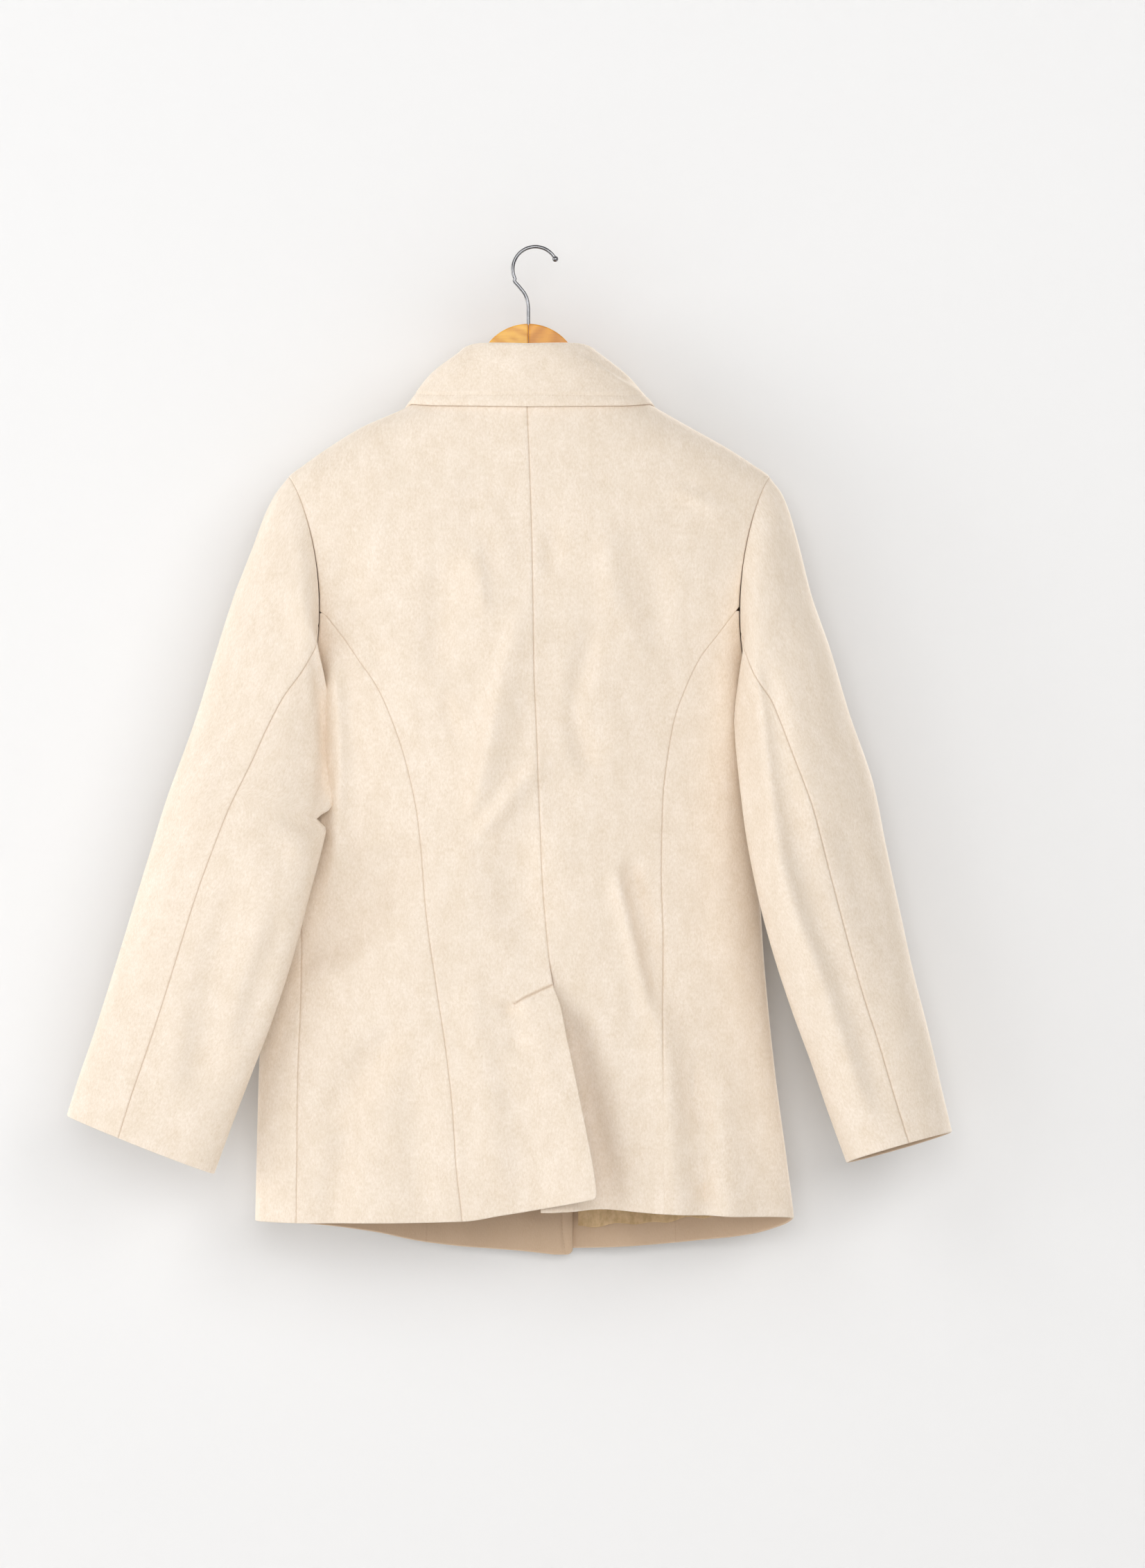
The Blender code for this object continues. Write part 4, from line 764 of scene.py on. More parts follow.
# ================================================================ shader nodes
class Shading:
    """One node tree, with short ways to add and join nodes."""

    def __init__(self, tree: bpy.types.NodeTree) -> None:
        """Keep the tree."""
        self.tree = tree

    def feed(self, node: bpy.types.Node, inputs: Inputs) -> bpy.types.Node:
        """Join sockets to a node's inputs, or set their values, by input name or number."""
        for name, value in inputs.items():
            if isinstance(value, Socket):
                self.tree.links.new(value, node.inputs[name])
            else:
                node.inputs[name].default_value = value
        return node

    def add(self, kind: str, inputs: Inputs | None = None, **settings: object) -> bpy.types.Node:
        """Add a node of a kind, with its inputs and its own settings."""
        node = self.tree.nodes.new(kind)
        for name, value in settings.items():
            setattr(node, name, value)
        return self.feed(node, inputs or {})

    def group(self, shared: bpy.types.NodeTree, **values: float) -> bpy.types.NodeOutputs:
        """Add a shared group with values for its inputs, and return its outputs."""
        return self.add("ShaderNodeGroup", values, node_tree=shared).outputs

    def place(self) -> Socket:
        """Place on the piece itself."""
        return self.add("ShaderNodeTexCoord").outputs["Object"]

    def marked(self, name: str) -> Socket:
        """Read a mark of the mesh."""
        return self.add("ShaderNodeAttribute", attribute_name=name).outputs["Fac"]

    def noise(self, vector: Socket, scale: float, detail: float = 2.0, rough: float = 0.5,
              twist: float = 0.0) -> Socket:
        """Add a noise pattern."""
        return self.add("ShaderNodeTexNoise", {"Vector": vector, "Scale": scale, "Detail": detail,
                                               "Roughness": rough, "Distortion": twist}).outputs["Fac"]

    def scaled(self, vector: Socket, factors: Triple) -> Socket:
        """Stretch coordinates."""
        return self.add("ShaderNodeMapping", {"Vector": vector, "Scale": factors}).outputs["Vector"]

    def math(self, operation: str, a: object, b: object = 0.0) -> Socket:
        """Join two numbers."""
        return self.add("ShaderNodeMath", {0: a, 1: b}, operation=operation).outputs["Value"]

    def weighed(self, *parts: tuple[Socket, float]) -> Socket:
        """Add up numbers, each times its weight."""
        total = self.math("MULTIPLY", *parts[0])
        for part in parts[1:]:
            total = self.math("ADD", total, self.math("MULTIPLY", *part))
        return total

    def span(self, value: Socket, low: float, high: float, to_low: float = 0.0,
             to_high: float = 1.0) -> Socket:
        """Map a range of numbers onto another."""
        return self.add("ShaderNodeMapRange", {"Value": value, "From Min": low, "From Max": high,
                                               "To Min": to_low, "To Max": to_high}).outputs["Result"]

    def mixed(self, part: object, a: object, b: object) -> Socket:
        """Mix two colours."""
        return self.add("ShaderNodeMix", {"Factor": part, 6: a, 7: b}, data_type="RGBA").outputs[2]

    def tinted(self, base: Socket, part: Socket, weight: float, tint: Colour) -> Socket:
        """Lay a tint over a colour where a part says so."""
        return self.mixed(self.math("MULTIPLY", part, weight), base, tint)

    def bump(self, height: Socket, strength: float, distance: float) -> Socket:
        """Turn heights into normals."""
        return self.add("ShaderNodeBump", {"Height": height, "Strength": strength, "Distance": distance}
                        ).outputs["Normal"]


def new_group(name: str, inputs: dict[str, float], outputs: tuple[str, ...]) -> bpy.types.NodeTree:
    """Make an empty node group.

    Args:
        name: The group's name.
        inputs: Names and usual values of its number inputs.
        outputs: Names of its number outputs.

    Returns:
        The group's tree.
    """
    tree = bpy.data.node_groups.new(name, "ShaderNodeTree")
    for label, value in inputs.items():
        socket = tree.interface.new_socket(label, in_out="INPUT", socket_type="NodeSocketFloat")
        socket.default_value = value
    for label in outputs:
        tree.interface.new_socket(label, in_out="OUTPUT", socket_type="NodeSocketFloat")
    return tree


def nap_group() -> bpy.types.NodeTree:
    """Fibres, flecks and clouds of brushed or woven cloth, in the cloth's own map."""
    tree = new_group("cloth_nap", {"Fineness": 1.0, "Stretch": 5.0}, ("Fibres", "Flecks", "Clouds"))
    nodes = Shading(tree)
    given = nodes.add("NodeGroupInput").outputs
    place = nodes.add("ShaderNodeUVMap", uv_map="cloth").outputs["UV"]
    split = nodes.add("ShaderNodeSeparateXYZ", {"Vector": place}).outputs
    u, v = (nodes.math("MULTIPLY", split[k], given["Fineness"]) for k in ("X", "Y"))
    slow_v = nodes.math("DIVIDE", v, given["Stretch"])
    half_v = nodes.math("MULTIPLY", v, 0.55)
    long, short = (nodes.add("ShaderNodeCombineXYZ", {"X": u, "Y": along, "Z": layer}).outputs["Vector"]
                   for along, layer in ((slow_v, 0.0), (half_v, 0.3)))
    nodes.add("NodeGroupOutput", {"Fibres": nodes.noise(long, 1300.0, 3.0, 0.62, 0.35),
                                  "Flecks": nodes.noise(short, 560.0, 3.0, 0.60, 0.25),
                                  "Clouds": nodes.noise(short, 95.0, 4.0, 0.62)})
    return tree


def wear_group() -> bpy.types.NodeTree:
    """Fine scratches and dull spots of a hard surface, in the piece's own place."""
    tree = new_group("handled_surface", {"Amount": 1.0}, ("Dull", "Scratch"))
    nodes = Shading(tree)
    amount = nodes.add("NodeGroupInput").outputs["Amount"]
    place = nodes.place()
    spots = nodes.noise(place, 160.0, 4.0, 0.6)
    long = nodes.noise(nodes.scaled(place, (260.0, 260.0, 2600.0)), 1.0, 2.0, 0.5, 0.8)
    nodes.add("NodeGroupOutput", {"Dull": nodes.math("MULTIPLY", nodes.span(spots, 0.35, 0.75), amount),
                                  "Scratch": nodes.math("MULTIPLY", nodes.span(long, 0.62, 0.8), amount)})
    return tree


def colour(r: float, g: float, b: float) -> Colour:
    """A solid colour."""
    return (r, g, b, 1.0)


@dataclass(frozen=True)
class Finish:
    """A surface between a light and a deep tone."""

    name: str
    light: Colour
    deep: Colour
    roughness: float

    def looks(self, nodes: Shading, shared: bpy.types.NodeTree | None) -> dict[str, object]:
        """What the finish feeds its shader, by input name."""
        raise NotImplementedError

    def material(self, shared: bpy.types.NodeTree | None = None) -> bpy.types.Material:
        """Build the material.

        Args:
            shared: The node group that the finish reads.

        Returns:
            The material.
        """
        made = bpy.data.materials.new(self.name)
        made.use_nodes = True
        nodes = Shading(made.node_tree)
        nodes.feed(made.node_tree.nodes["Principled BSDF"], self.looks(nodes, shared))
        return made

    def rough(self, nodes: Shading, value: Socket, low: float, high: float, less: float,
              more: float) -> Socket:
        """Roughness that follows a value, from a little less to a little more than the usual one."""
        return nodes.span(value, low, high, self.roughness - less, self.roughness + more)


@dataclass(frozen=True)
class WoolFinish(Finish):
    """Brushed melton wool in cream, with a short nap that runs down the cloth."""

    grey: Colour = colour(0.80, 0.69, 0.56)
    # Painted shade: warm dark brown laid into the seam grooves and the stitches' dimples.
    groove_shade: Colour = colour(0.42, 0.26, 0.15)
    # Painted shade: a darker warm tone laid over the whole inner face of the wool, which lies in shadow
    # inside the coat.
    inside_shade: Colour = colour(0.62, 0.43, 0.275)
    sheen: float = 0.35
    sheen_tint: Colour = colour(1.0, 0.95, 0.87)
    nap_height: float = 0.00050
    stitch_length: float = 3.2
    blotched: float = 0.20
    # How strongly painted shade darkens the seams.
    seam_tint: float = 0.42
    # How strongly painted shade darkens the inner face.
    inside_shade_weight: float = 0.8
    # How strongly painted shade darkens the stitches' dimples.
    dimple_shade_weight: float = 0.10

    def looks(self, nodes: Shading, nap: bpy.types.NodeTree) -> dict[str, object]:
        """What the wool feeds its shader: nap, blotches, painted shade in the seams, on the inner face and
        in the stitches' dimples.
        """
        group = nodes.group(nap, Fineness=1.0, Stretch=4.5)
        fibres, flecks, clouds = (group[k] for k in ("Fibres", "Flecks", "Clouds"))
        blotches = nodes.span(nodes.noise(nodes.place(), 26.0, 3.0, 0.6), 0.38, 0.68)
        tone = nodes.span(nodes.weighed((flecks, 0.58), (fibres, 0.24), (clouds, 0.42)), 0.44, 0.80)
        near = nodes.span(nodes.math("ABSOLUTE", nodes.marked("stitch")), 0.9, 0.2)
        run = nodes.math("MULTIPLY", nodes.marked("run"), 2 * math.pi / self.stitch_length)
        dimple = nodes.math("MULTIPLY", near, nodes.span(nodes.math("SINE", run), -0.9, 0.4))
        base = nodes.mixed(tone, self.deep, self.light)
        base = nodes.tinted(base, blotches, self.blotched, self.grey)
        # Painted shade along the seams, where the seam mark says so.
        base = nodes.tinted(base, nodes.marked("seam"), self.seam_tint, self.groove_shade)
        # Painted shade over the inner face.
        base = nodes.tinted(base, nodes.marked("inside"), self.inside_shade_weight, self.inside_shade)
        # Painted shade in the stitches' dimples.
        base = nodes.tinted(base, dimple, self.dimple_shade_weight, self.groove_shade)
        height = nodes.weighed((fibres, 0.55), (flecks, 0.8), (dimple, -0.5))
        return {"Base Color": base, "Roughness": self.rough(nodes, flecks, 0.3, 0.7, 0.06, 0.05),
                "Sheen Weight": self.sheen, "Sheen Roughness": 0.45, "Sheen Tint": self.sheen_tint,
                "Specular IOR Level": 0.22, "Normal": nodes.bump(height, 0.55, self.nap_height)}


@dataclass(frozen=True)
class SatinFinish(Finish):
    """Tan satin lining with a soft shine."""

    def looks(self, nodes: Shading, nap: bpy.types.NodeTree) -> dict[str, object]:
        """What the satin feeds its shader: soft clouds and fine threads."""
        group = nodes.group(nap, Fineness=2.6, Stretch=9.0)
        return {"Base Color": nodes.mixed(nodes.span(group["Clouds"], 0.35, 0.65), self.deep, self.light),
                "Roughness": self.rough(nodes, group["Fibres"], 0.3, 0.7, 0.06, 0.1), "Sheen Weight": 0.25,
                "Normal": nodes.bump(group["Fibres"], 0.3, 0.00012)}


@dataclass(frozen=True)
class WoodFinish(Finish):
    """Varnished honey-coloured wood with a slanting grain and a small knot."""

    knot_at: Pair = (-19.5, -82.0)
    lean: float = 0.35

    def looks(self, nodes: Shading, wear: bpy.types.NodeTree) -> dict[str, object]:
        """What the wood feeds its shader: rings round the knot, pores and handling marks."""
        place = nodes.place()
        split = nodes.add("ShaderNodeSeparateXYZ", {"Vector": place}).outputs
        x, z = (nodes.math("SUBTRACT", split[k], at * MM) for k, at in zip("XZ", self.knot_at))
        long = nodes.math("MULTIPLY", x, 0.45)
        tall = nodes.math("ADD", z, nodes.math("MULTIPLY", x, self.lean))
        squares = (nodes.math("MULTIPLY", length, length) for length in (long, tall))
        ring = nodes.math("SQRT", nodes.math("ADD", *squares))
        ring = nodes.weighed((ring, 640.0), (nodes.noise(place, 60.0, 3.0, 0.55), 4.5))
        bands = nodes.math("MULTIPLY", nodes.math("ADD", nodes.math("SINE", ring), 1.0), 0.5)
        pores = nodes.span(nodes.noise(nodes.scaled(place, (60.0, 900.0, 900.0)), 1.0, 3.0, 0.6), 0.45, 0.75)
        tone = nodes.weighed((bands, 0.62), (pores, 0.35))
        marks = nodes.group(wear, Amount=0.6)
        height = nodes.math("SUBTRACT", tone, marks["Scratch"])
        return {"Base Color": nodes.mixed(nodes.math("MULTIPLY", tone, 0.9), self.light, self.deep),
                "Roughness": self.rough(nodes, marks["Dull"], 0.0, 1.0, 0.06, 0.14), "Coat Weight": 0.1,
                "Coat Roughness": 0.16, "Normal": nodes.bump(height, 0.25, 0.00015)}


@dataclass(frozen=True)
class ChromeFinish(Finish):
    """Polished plating with fine handling marks."""

    def looks(self, nodes: Shading, wear: bpy.types.NodeTree) -> dict[str, object]:
        """What the plating feeds its shader: dull spots and scratches."""
        marks = nodes.group(wear, Amount=1.0)
        return {"Base Color": nodes.mixed(marks["Dull"], self.light, self.deep), "Metallic": 1.0,
                "Roughness": self.rough(nodes, marks["Dull"], 0.0, 1.0, 0.0, 0.14),
                "Normal": nodes.bump(marks["Scratch"], 0.1, 0.00005)}


@dataclass(frozen=True)
class HornFinish(Finish):
    """Polished brown button with pale streaks, as of horn."""

    def looks(self, nodes: Shading, wear: bpy.types.NodeTree) -> dict[str, object]:
        """What the horn feeds its shader: streaks and handling marks."""
        streaks = nodes.noise(nodes.scaled(nodes.place(), (70.0, 260.0, 150.0)), 1.0, 4.0, 0.6, 1.4)
        marks = nodes.group(wear, Amount=0.8)
        return {"Base Color": nodes.mixed(nodes.span(streaks, 0.35, 0.68), self.deep, self.light),
                "Roughness": self.rough(nodes, marks["Dull"], 0.0, 1.0, 0.0, 0.18),
                "Normal": nodes.bump(marks["Scratch"], 0.15, 0.00006)}


@dataclass(frozen=True)
class ThreadFinish(Finish):
    """Twisted sewing thread."""

    twist: float = 5200.0

    def looks(self, nodes: Shading, shared: None) -> dict[str, object]:
        """What the thread feeds its shader: its twist."""
        place = nodes.place()
        split = nodes.add("ShaderNodeSeparateXYZ", {"Vector": place}).outputs
        slant = nodes.math("ADD", split["X"], nodes.math("MULTIPLY", split["Z"], 1.3))
        turns = nodes.math("SINE", nodes.math("MULTIPLY", slant, self.twist))
        tone = nodes.span(nodes.math("ADD", turns, nodes.noise(place, 2400.0)), -0.6, 1.6)
        return {"Base Color": nodes.mixed(tone, self.deep, self.light),
                "Roughness": self.rough(nodes, tone, 0.0, 1.0, 0.0, -0.2),
                "Normal": nodes.bump(turns, 0.4, 0.0001)}


class Finishes:
    """All finishes of the coat and its hanger, built once."""

    def __init__(self) -> None:
        """Build the shared groups and the materials."""
        nap, wear = nap_group(), wear_group()
        self.wool = WoolFinish("cream_wool", colour(0.95, 0.84, 0.727), colour(0.785, 0.655, 0.51),
                               0.92).material(nap)
        self.satin = SatinFinish("tan_satin", colour(0.74, 0.52, 0.28), colour(0.58, 0.385, 0.18),
                                 0.36).material(nap)
        self.wood_left = WoodFinish("honey_wood_left", colour(0.96, 0.53, 0.085), colour(0.72, 0.28, 0.03),
                                    0.38).material(wear)
        self.wood_right = WoodFinish("honey_wood_right", colour(0.88, 0.40, 0.045),
                                     colour(0.58, 0.20, 0.018), 0.38, (60.0, -60.0), -0.5).material(wear)
        self.chrome = ChromeFinish("chrome", colour(0.27, 0.27, 0.28), colour(0.17, 0.17, 0.175),
                                   0.08).material(wear)
        self.horn = HornFinish("horn_button", colour(0.50, 0.36, 0.24), colour(0.17, 0.10, 0.06),
                               0.26).material(wear)
        self.thread = ThreadFinish("cream_thread", colour(0.70, 0.56, 0.40), colour(0.45, 0.32, 0.20),
                                   0.85).material()
        self.brown_thread = ThreadFinish("brown_thread", colour(0.40, 0.20, 0.12), colour(0.22, 0.09, 0.05),
                                         0.85).material()


# ================================================================ body of the coat
CENTRE_BACK = Table(("z", "x"), (
    (-910, 56), (-853, 55), (-836, 53.9), (-793, 46.5), (-750, 37.8), (-709, 29.1),
    (-679.5, 22.9), (-660.3, 16.1), (-624, 11.2), (-564, 6.2), (-512, 4.3), (-444.5, 1.9),
    (-383, -0.6), (-300.7, -1.9), (-228.8, -3.7), (-177, -5.6), (-146, -6.8), (-100, -7),
))
PRINCESS_BACK_LEFT = Table(("z", "x"), (
    (-930, -62), (-871.7, -65.1), (-820, -70.7), (-778, -73.2), (-726, -78.7), (-663, -88),
    (-590, -98), (-517, -104.2), (-465, -114.7), (-419, -130.2), (-393, -142.6),
    (-372.6, -156.9), (-352.2, -171.1), (-328.6, -189.7),
))
PRINCESS_BACK_RIGHT = Table(("z", "x"), (
    (-930, 115.5), (-866, 115), (-718, 114.1), (-611, 114.1), (-566, 112.8), (-499.7, 114.1),
    (-455, 119), (-422.2, 125.2), (-393.7, 135.8), (-369.5, 147.6), (-350.9, 161.8), (-326.7, 180.4),
))
CENTRE_FRONT = Table(("z", "x"), (
    (-930, 14), (-875, 14), (-660, 6), (-500, 0), (-330, -4), (-100, -6),
))
PRINCESS_FRONT_LEFT = Table(("z", "x"), (
    (-930, -100), (-875, -99), (-660, -98), (-500, -96), (-420, -106),
    (-370, -130), (-330, -186),
))
PRINCESS_FRONT_RIGHT = Table(("z", "x"), (
    (-930, 128), (-875, 127), (-660, 112), (-500, 96), (-420, 100),
    (-370, 120), (-330, 175),
))
SIDE_LEFT = Table(("z", "turn"), (
    (-930, -57.5), (-790, -57.6), (-705, -57.8), (-640, -60), (-500, -77), (-380, -90),
))
SIDE_RIGHT = Table(("z", "turn"), (
    (-930, 122), (-790, 121), (-640, 114), (-500, 102), (-380, 90),
))
LEFT_HEM = Table(("turn", "z"), (
    (-186, -910), (-180, -907), (-166, -902), (-157, -897.5), (-147, -889.5),
    (-132, -882), (-110, -877), (-90, -875), (-57, -875.5), (-39, -874.8),
    (-12.7, -872.3), (-5.2, -867.4), (5, -860), (15, -852),
))
RIGHT_HEM = Table(("turn", "z"), (
    (-8, -858), (5, -864.6), (16, -863.2), (30, -866), (47, -868.6), (90, -873),
    (108, -881), (122, -889), (140, -896), (156, -901.5), (168, -904), (186, -905),
))
FLAP_LIFT = Table(("z", "lift"), (
    (-900, 13), (-853, 13), (-800, 12), (-740, 9.5), (-690, 5.5), (-661, 0.3),
))

LEFT_RING = (0.00, -222, 0, -205.5, -203, 0, -380, 36, 37, 18, 18, 0)
RIGHT_RING = (0.00, 211, 0, -206, 191, 0, -380, 36, 37, -16, -18, 0)


@dataclass
class PanelPlan:
    """One panel of the body: its edges by height, its hem and how it lies."""

    name: str
    top: float
    left: Curve
    right: Curve
    hem: Curve
    edges: tuple[Edge, Edge, Edge, Edge]
    cut: Triple
    raised: Raise | None = None
    stitched: Flags = UNSEWN
    corners: Pair = (0.0, 0.0)
    turned_up: float = 34.0
    right_steps: Row = ()
    fine_rows: Row = ()
    sewn_above: float = FAR
    faint_below: float = -FAR
    marked: Raise | None = None
    straight: bool = False


@dataclass
class CoatBody:
    """The eight wool panels of the body and the lining of the right front."""

    form: BodyForm
    wool_thickness: float = 2.4
    lining_thickness: float = 1.0
    seam_half: float = -0.1
    layer: float = 3.4
    row_step: float = 4.4
    least_step: float = 0.12
    shoulder_step: float = 2.4
    column_step: float = 4.2
    armhole_top: float = -205.5
    underarm: float = -380.0
    rows_over_underarm: Row = (0.4, 1.0, 1.8, 2.8)
    rows_under_armhole_top: Row = (-0.3, -0.8, -1.6, -2.6)
    rows_at_vent_top: Row = (1.0, -1.5, -3.0, -8.0)
    back_join_left: float = -328.6
    back_join_right: float = -326.7
    front_join: float = -330.0
    tip: float = 0.7
    corner_high: float = 30.0
    overlap: float = 20.0
    lap_start: float = 36.0
    lap_end: float = 8.0
    vent_top: float = -660.3
    vent_underlap: float = 50.0
    vent_slant: float = 20.0
    vent_sink_above: float = 26.0
    vent_sink_width: float = 30.0
    vent_sink_level: float = 6.0
    flap_width: float = 72.0
    lining_top: float = -400.0
    lining_above_hem: float = 20.5
    lining_past_centre: float = 25.0
    lining_sink: float = 3.9
    bar_from: Pair = (-19.5, -677.0)
    bar_to: Pair = (16.5, -660.5)
    bar_depth: float = 1.3
    bar_width: float = 0.95
    bar_bow: float = 1.4
    bar_bow_long: float = 12.0
    # Painted shade along the slanted row of stitches: its strength and width.
    bar_shade_strength: float = 1.25
    bar_shade_width: float = 0.9
    pucker: float = 0.30
    pucker_long: float = 7.3
    underlap_rise: float = 1.1
    princess_fades: float = -735.0

    def __post_init__(self) -> None:
        """Read the seams and hems as curves."""
        self.centre_back, self.centre_front = CENTRE_BACK.curve("x"), CENTRE_FRONT.curve("x")
        self.left_hem, self.right_hem = LEFT_HEM.curve("z"), RIGHT_HEM.curve("z")
        self.lift_at = FLAP_LIFT.curve("lift")

    def edge(self, seam: Table, side: Side, front: bool, join: float | None = None) -> Curve:
        """Edge of a panel: its seam, above the join the armhole, and above that the shoulder line.

        Args:
            seam: The seam, by turn or by position across.
            side: The wearer's side.
            front: Whether the edge lies on the front.
            join: Height at which the seam meets the armhole, if it does.

        Returns:
            The edge's turn by height.
        """
        kind, over = seam.columns[1], side if front else None
        line = seam.curve(kind)
        ring = LEFT_RING if side is Side.LEFT else RIGHT_RING

        def turn(z: Array) -> Array:
            """Turn of the edge at a height."""
            low = line(z) if kind == "turn" else self.form.turn_at(line(z), z, over)
            if join is None:
                return low
            arm = self.form.turn_at(self.form.armhole_x(ring, z, front), z, over)
            high = side.value * 90.0
            return np.where(z > self.armhole_top - 0.01, high, np.where(z > join, arm, low))

        return turn

    def front_edge(self, off: float, side: Side) -> Curve:
        """Edge of a front at a distance from the centre front, as its turn by height."""
        return lambda z: self.form.turn_at(self.centre_front(z) + off, z, side)

    def underlap_edge(self, z: Array) -> Array:
        """Left edge of the right back, which reaches under the left one at the vent."""
        under = self.vent_underlap * smoothstep(z, self.vent_top - 2, self.vent_top - self.vent_slant)
        return self.form.turn_at(self.centre_back(z) - under, z)

    def flap_raised(self, turn: Array, z: Array, x: Array) -> Array:
        """Height of the left back over the vent, where its free edge stands off."""
        near = smoothstep(x, self.centre_back(z) - self.flap_width, self.centre_back(z))
        level = -self.form.fold_strength * VENT_TROUGH.height_at(x, z)
        return np.where(z < self.vent_top + 1, self.lift_at(z) * near + level, 0.0) + self.bar_height(x, z)

    def bar_place(self, x: Array, z: Array) -> tuple[Array, Array, Array]:
        """Place along and off the slanted row of stitches, and whether it is on it."""
        (x0, z0), (x1, z1) = self.bar_from, self.bar_to
        long = math.hypot(x1 - x0, z1 - z0)
        ahead, up = (x1 - x0) / long, (z1 - z0) / long
        along = (x - x0) * ahead + (z - z0) * up
        bow = self.bar_bow * (1 - smoothstep(along, 0.0, self.bar_bow_long))
        off = (z - z0) * ahead - (x - x0) * up + bow
        return along, off, smoothstep(along, -1.5, 1.5) * (1 - smoothstep(along, long - 1.0, long + 1.0))

    def bar_height(self, x: Array, z: Array) -> Array:
        """Height of the cloth about the slanted row of stitches."""
        along, off, on_bar = self.bar_place(x, z)
        pucker = self.pucker * np.sin(along * 2 * math.pi / self.pucker_long + 0.6) * bell(off + 3.0, 2.6)
        under = smoothstep(along, -4.0, 10.0) * (1 - smoothstep(off, -2.0, 1.5))
        under = under * smoothstep(off, -46.0, -16.0)
        groove = -self.bar_depth * bell(off, self.bar_width)
        swell = 0.55 * bell(off + 2.6, 1.5) + 0.35 * bell(off - 2.4, 1.6)
        return (groove + swell + pucker - 0.7 * bell(off, 6.5)) * on_bar + self.underlap_rise * under

    def bar_shade(self, turn: Array, z: Array, x: Array) -> Array:
        """How strongly painted shade darkens the groove of the slanted row of stitches at a place."""
        _, off, on_bar = self.bar_place(x, z)
        return self.bar_shade_strength * bell(off, self.bar_shade_width) * on_bar

    def vent_sunk(self, turn: Array, z: Array, x: Array) -> Array:
        """Height of the right back, which sinks under the left one at the vent."""
        height = smoothstep(z, self.vent_top + self.vent_sink_above, self.vent_top)
        seam = self.centre_back(z) + self.vent_sink_level
        return -self.layer * height * smoothstep(x, seam + self.vent_sink_width, seam)

    def front_lapped(self, turn: Array, z: Array, x: Array) -> Array:
        """Height of the right front, which climbs onto the left one."""
        edge = self.centre_front(z) + self.overlap
        return self.layer * smoothstep(x, edge + self.lap_start, edge + self.lap_end)

    def plans(self) -> tuple[PanelPlan, ...]:
        """The panels in order round the coat."""
        left, right, edge = Side.LEFT, Side.RIGHT, self.edge
        neck, low_left, low_right = self.form.neck_side_z, self.left_hem, self.right_hem
        both, on_left, on_right = (tuple(Edge[name] for name in names.split()) + (Edge.FREE, Edge.PLAIN)
                                   for names in ("SEAM SEAM", "FREE SEAM", "SEAM FREE"))
        arm = self.underarm + 0.01
        top_front = self.front_join - self.tip
        return (
            PanelPlan("back_left", neck, edge(PRINCESS_BACK_LEFT, left, False, self.back_join_left),
                      edge(CENTRE_BACK, left, False), low_left, on_right, (0.232, 0.780, 0.107),
                      self.flap_raised, corners=(0.0, 4.5), right_steps=BAR_STEPS, fine_rows=BAR_ROWS,
                      sewn_above=self.vent_top, marked=self.bar_shade, straight=True),
            PanelPlan("back_right", neck, self.underlap_edge,
                      edge(PRINCESS_BACK_RIGHT, right, False, self.back_join_right), low_right, on_left,
                      (0.235, 0.770, 0.107), self.vent_sunk, sewn_above=self.vent_top,
                      faint_below=self.princess_fades),
            PanelPlan("back_side_left", self.back_join_left - self.tip, edge(SIDE_LEFT, left, False, arm),
                      edge(PRINCESS_BACK_LEFT, left, False), low_left, both, (0.151, 0.560, 0.0626)),
            PanelPlan("back_side_right", self.back_join_right - self.tip,
                      edge(PRINCESS_BACK_RIGHT, right, False), edge(SIDE_RIGHT, right, False, arm),
                      low_right, both, (0.181, 0.560, 0.0674), faint_below=self.princess_fades),
            PanelPlan("front_side_left", top_front, edge(PRINCESS_FRONT_LEFT, left, True),
                      edge(SIDE_LEFT, left, True, arm), low_left, both, (0.217, 0.580, 0.0926)),
            PanelPlan("front_side_right", top_front, edge(SIDE_RIGHT, right, True, arm),
                      edge(PRINCESS_FRONT_RIGHT, right, True), low_right, both, (0.105, 0.580, 0.0463)),
            PanelPlan("front_left", neck, self.front_edge(self.overlap, left),
                      edge(PRINCESS_FRONT_LEFT, left, True, self.front_join), low_left, on_left,
                      (0.251, 0.800, 0.1174), stitched=(True, False, False, False), corners=(6.0, 0.0)),
            PanelPlan("front_right", neck, edge(PRINCESS_FRONT_RIGHT, right, True, self.front_join),
                      self.front_edge(-self.overlap, right), low_right, on_right, (0.251, 0.795, 0.1171),
                      self.front_lapped, stitched=(False, True, False, False), corners=(0.0, 6.0),
                      turned_up=22.0),
        )

    def levels(self, top: float, extra: Row) -> Array:
        """Heights of a panel's rows, from the hem up: close at the hem, the armhole and the vent."""
        hem = self.form.hem_z
        marks = (*(hem + step for step in EDGE_STEPS[1:]), self.armhole_top, self.underarm, self.vent_top)
        groups = ((self.underarm, self.rows_over_underarm), (self.armhole_top, self.rows_under_armhole_top),
                  (self.vent_top, self.rows_at_vent_top))
        fine = [place + off for place, offs in groups for off in offs]
        fine += [*np.arange(self.armhole_top, self.form.neck_side_z, self.shoulder_step), *extra]
        levels = steps_between(hem, top, self.row_step, marks)
        levels = np.unique(np.round([*levels, *(f for f in fine if f < top)], 3))
        levels = levels[np.concatenate(([True], np.diff(levels) > self.least_step))]
        levels[-1] = top
        return levels

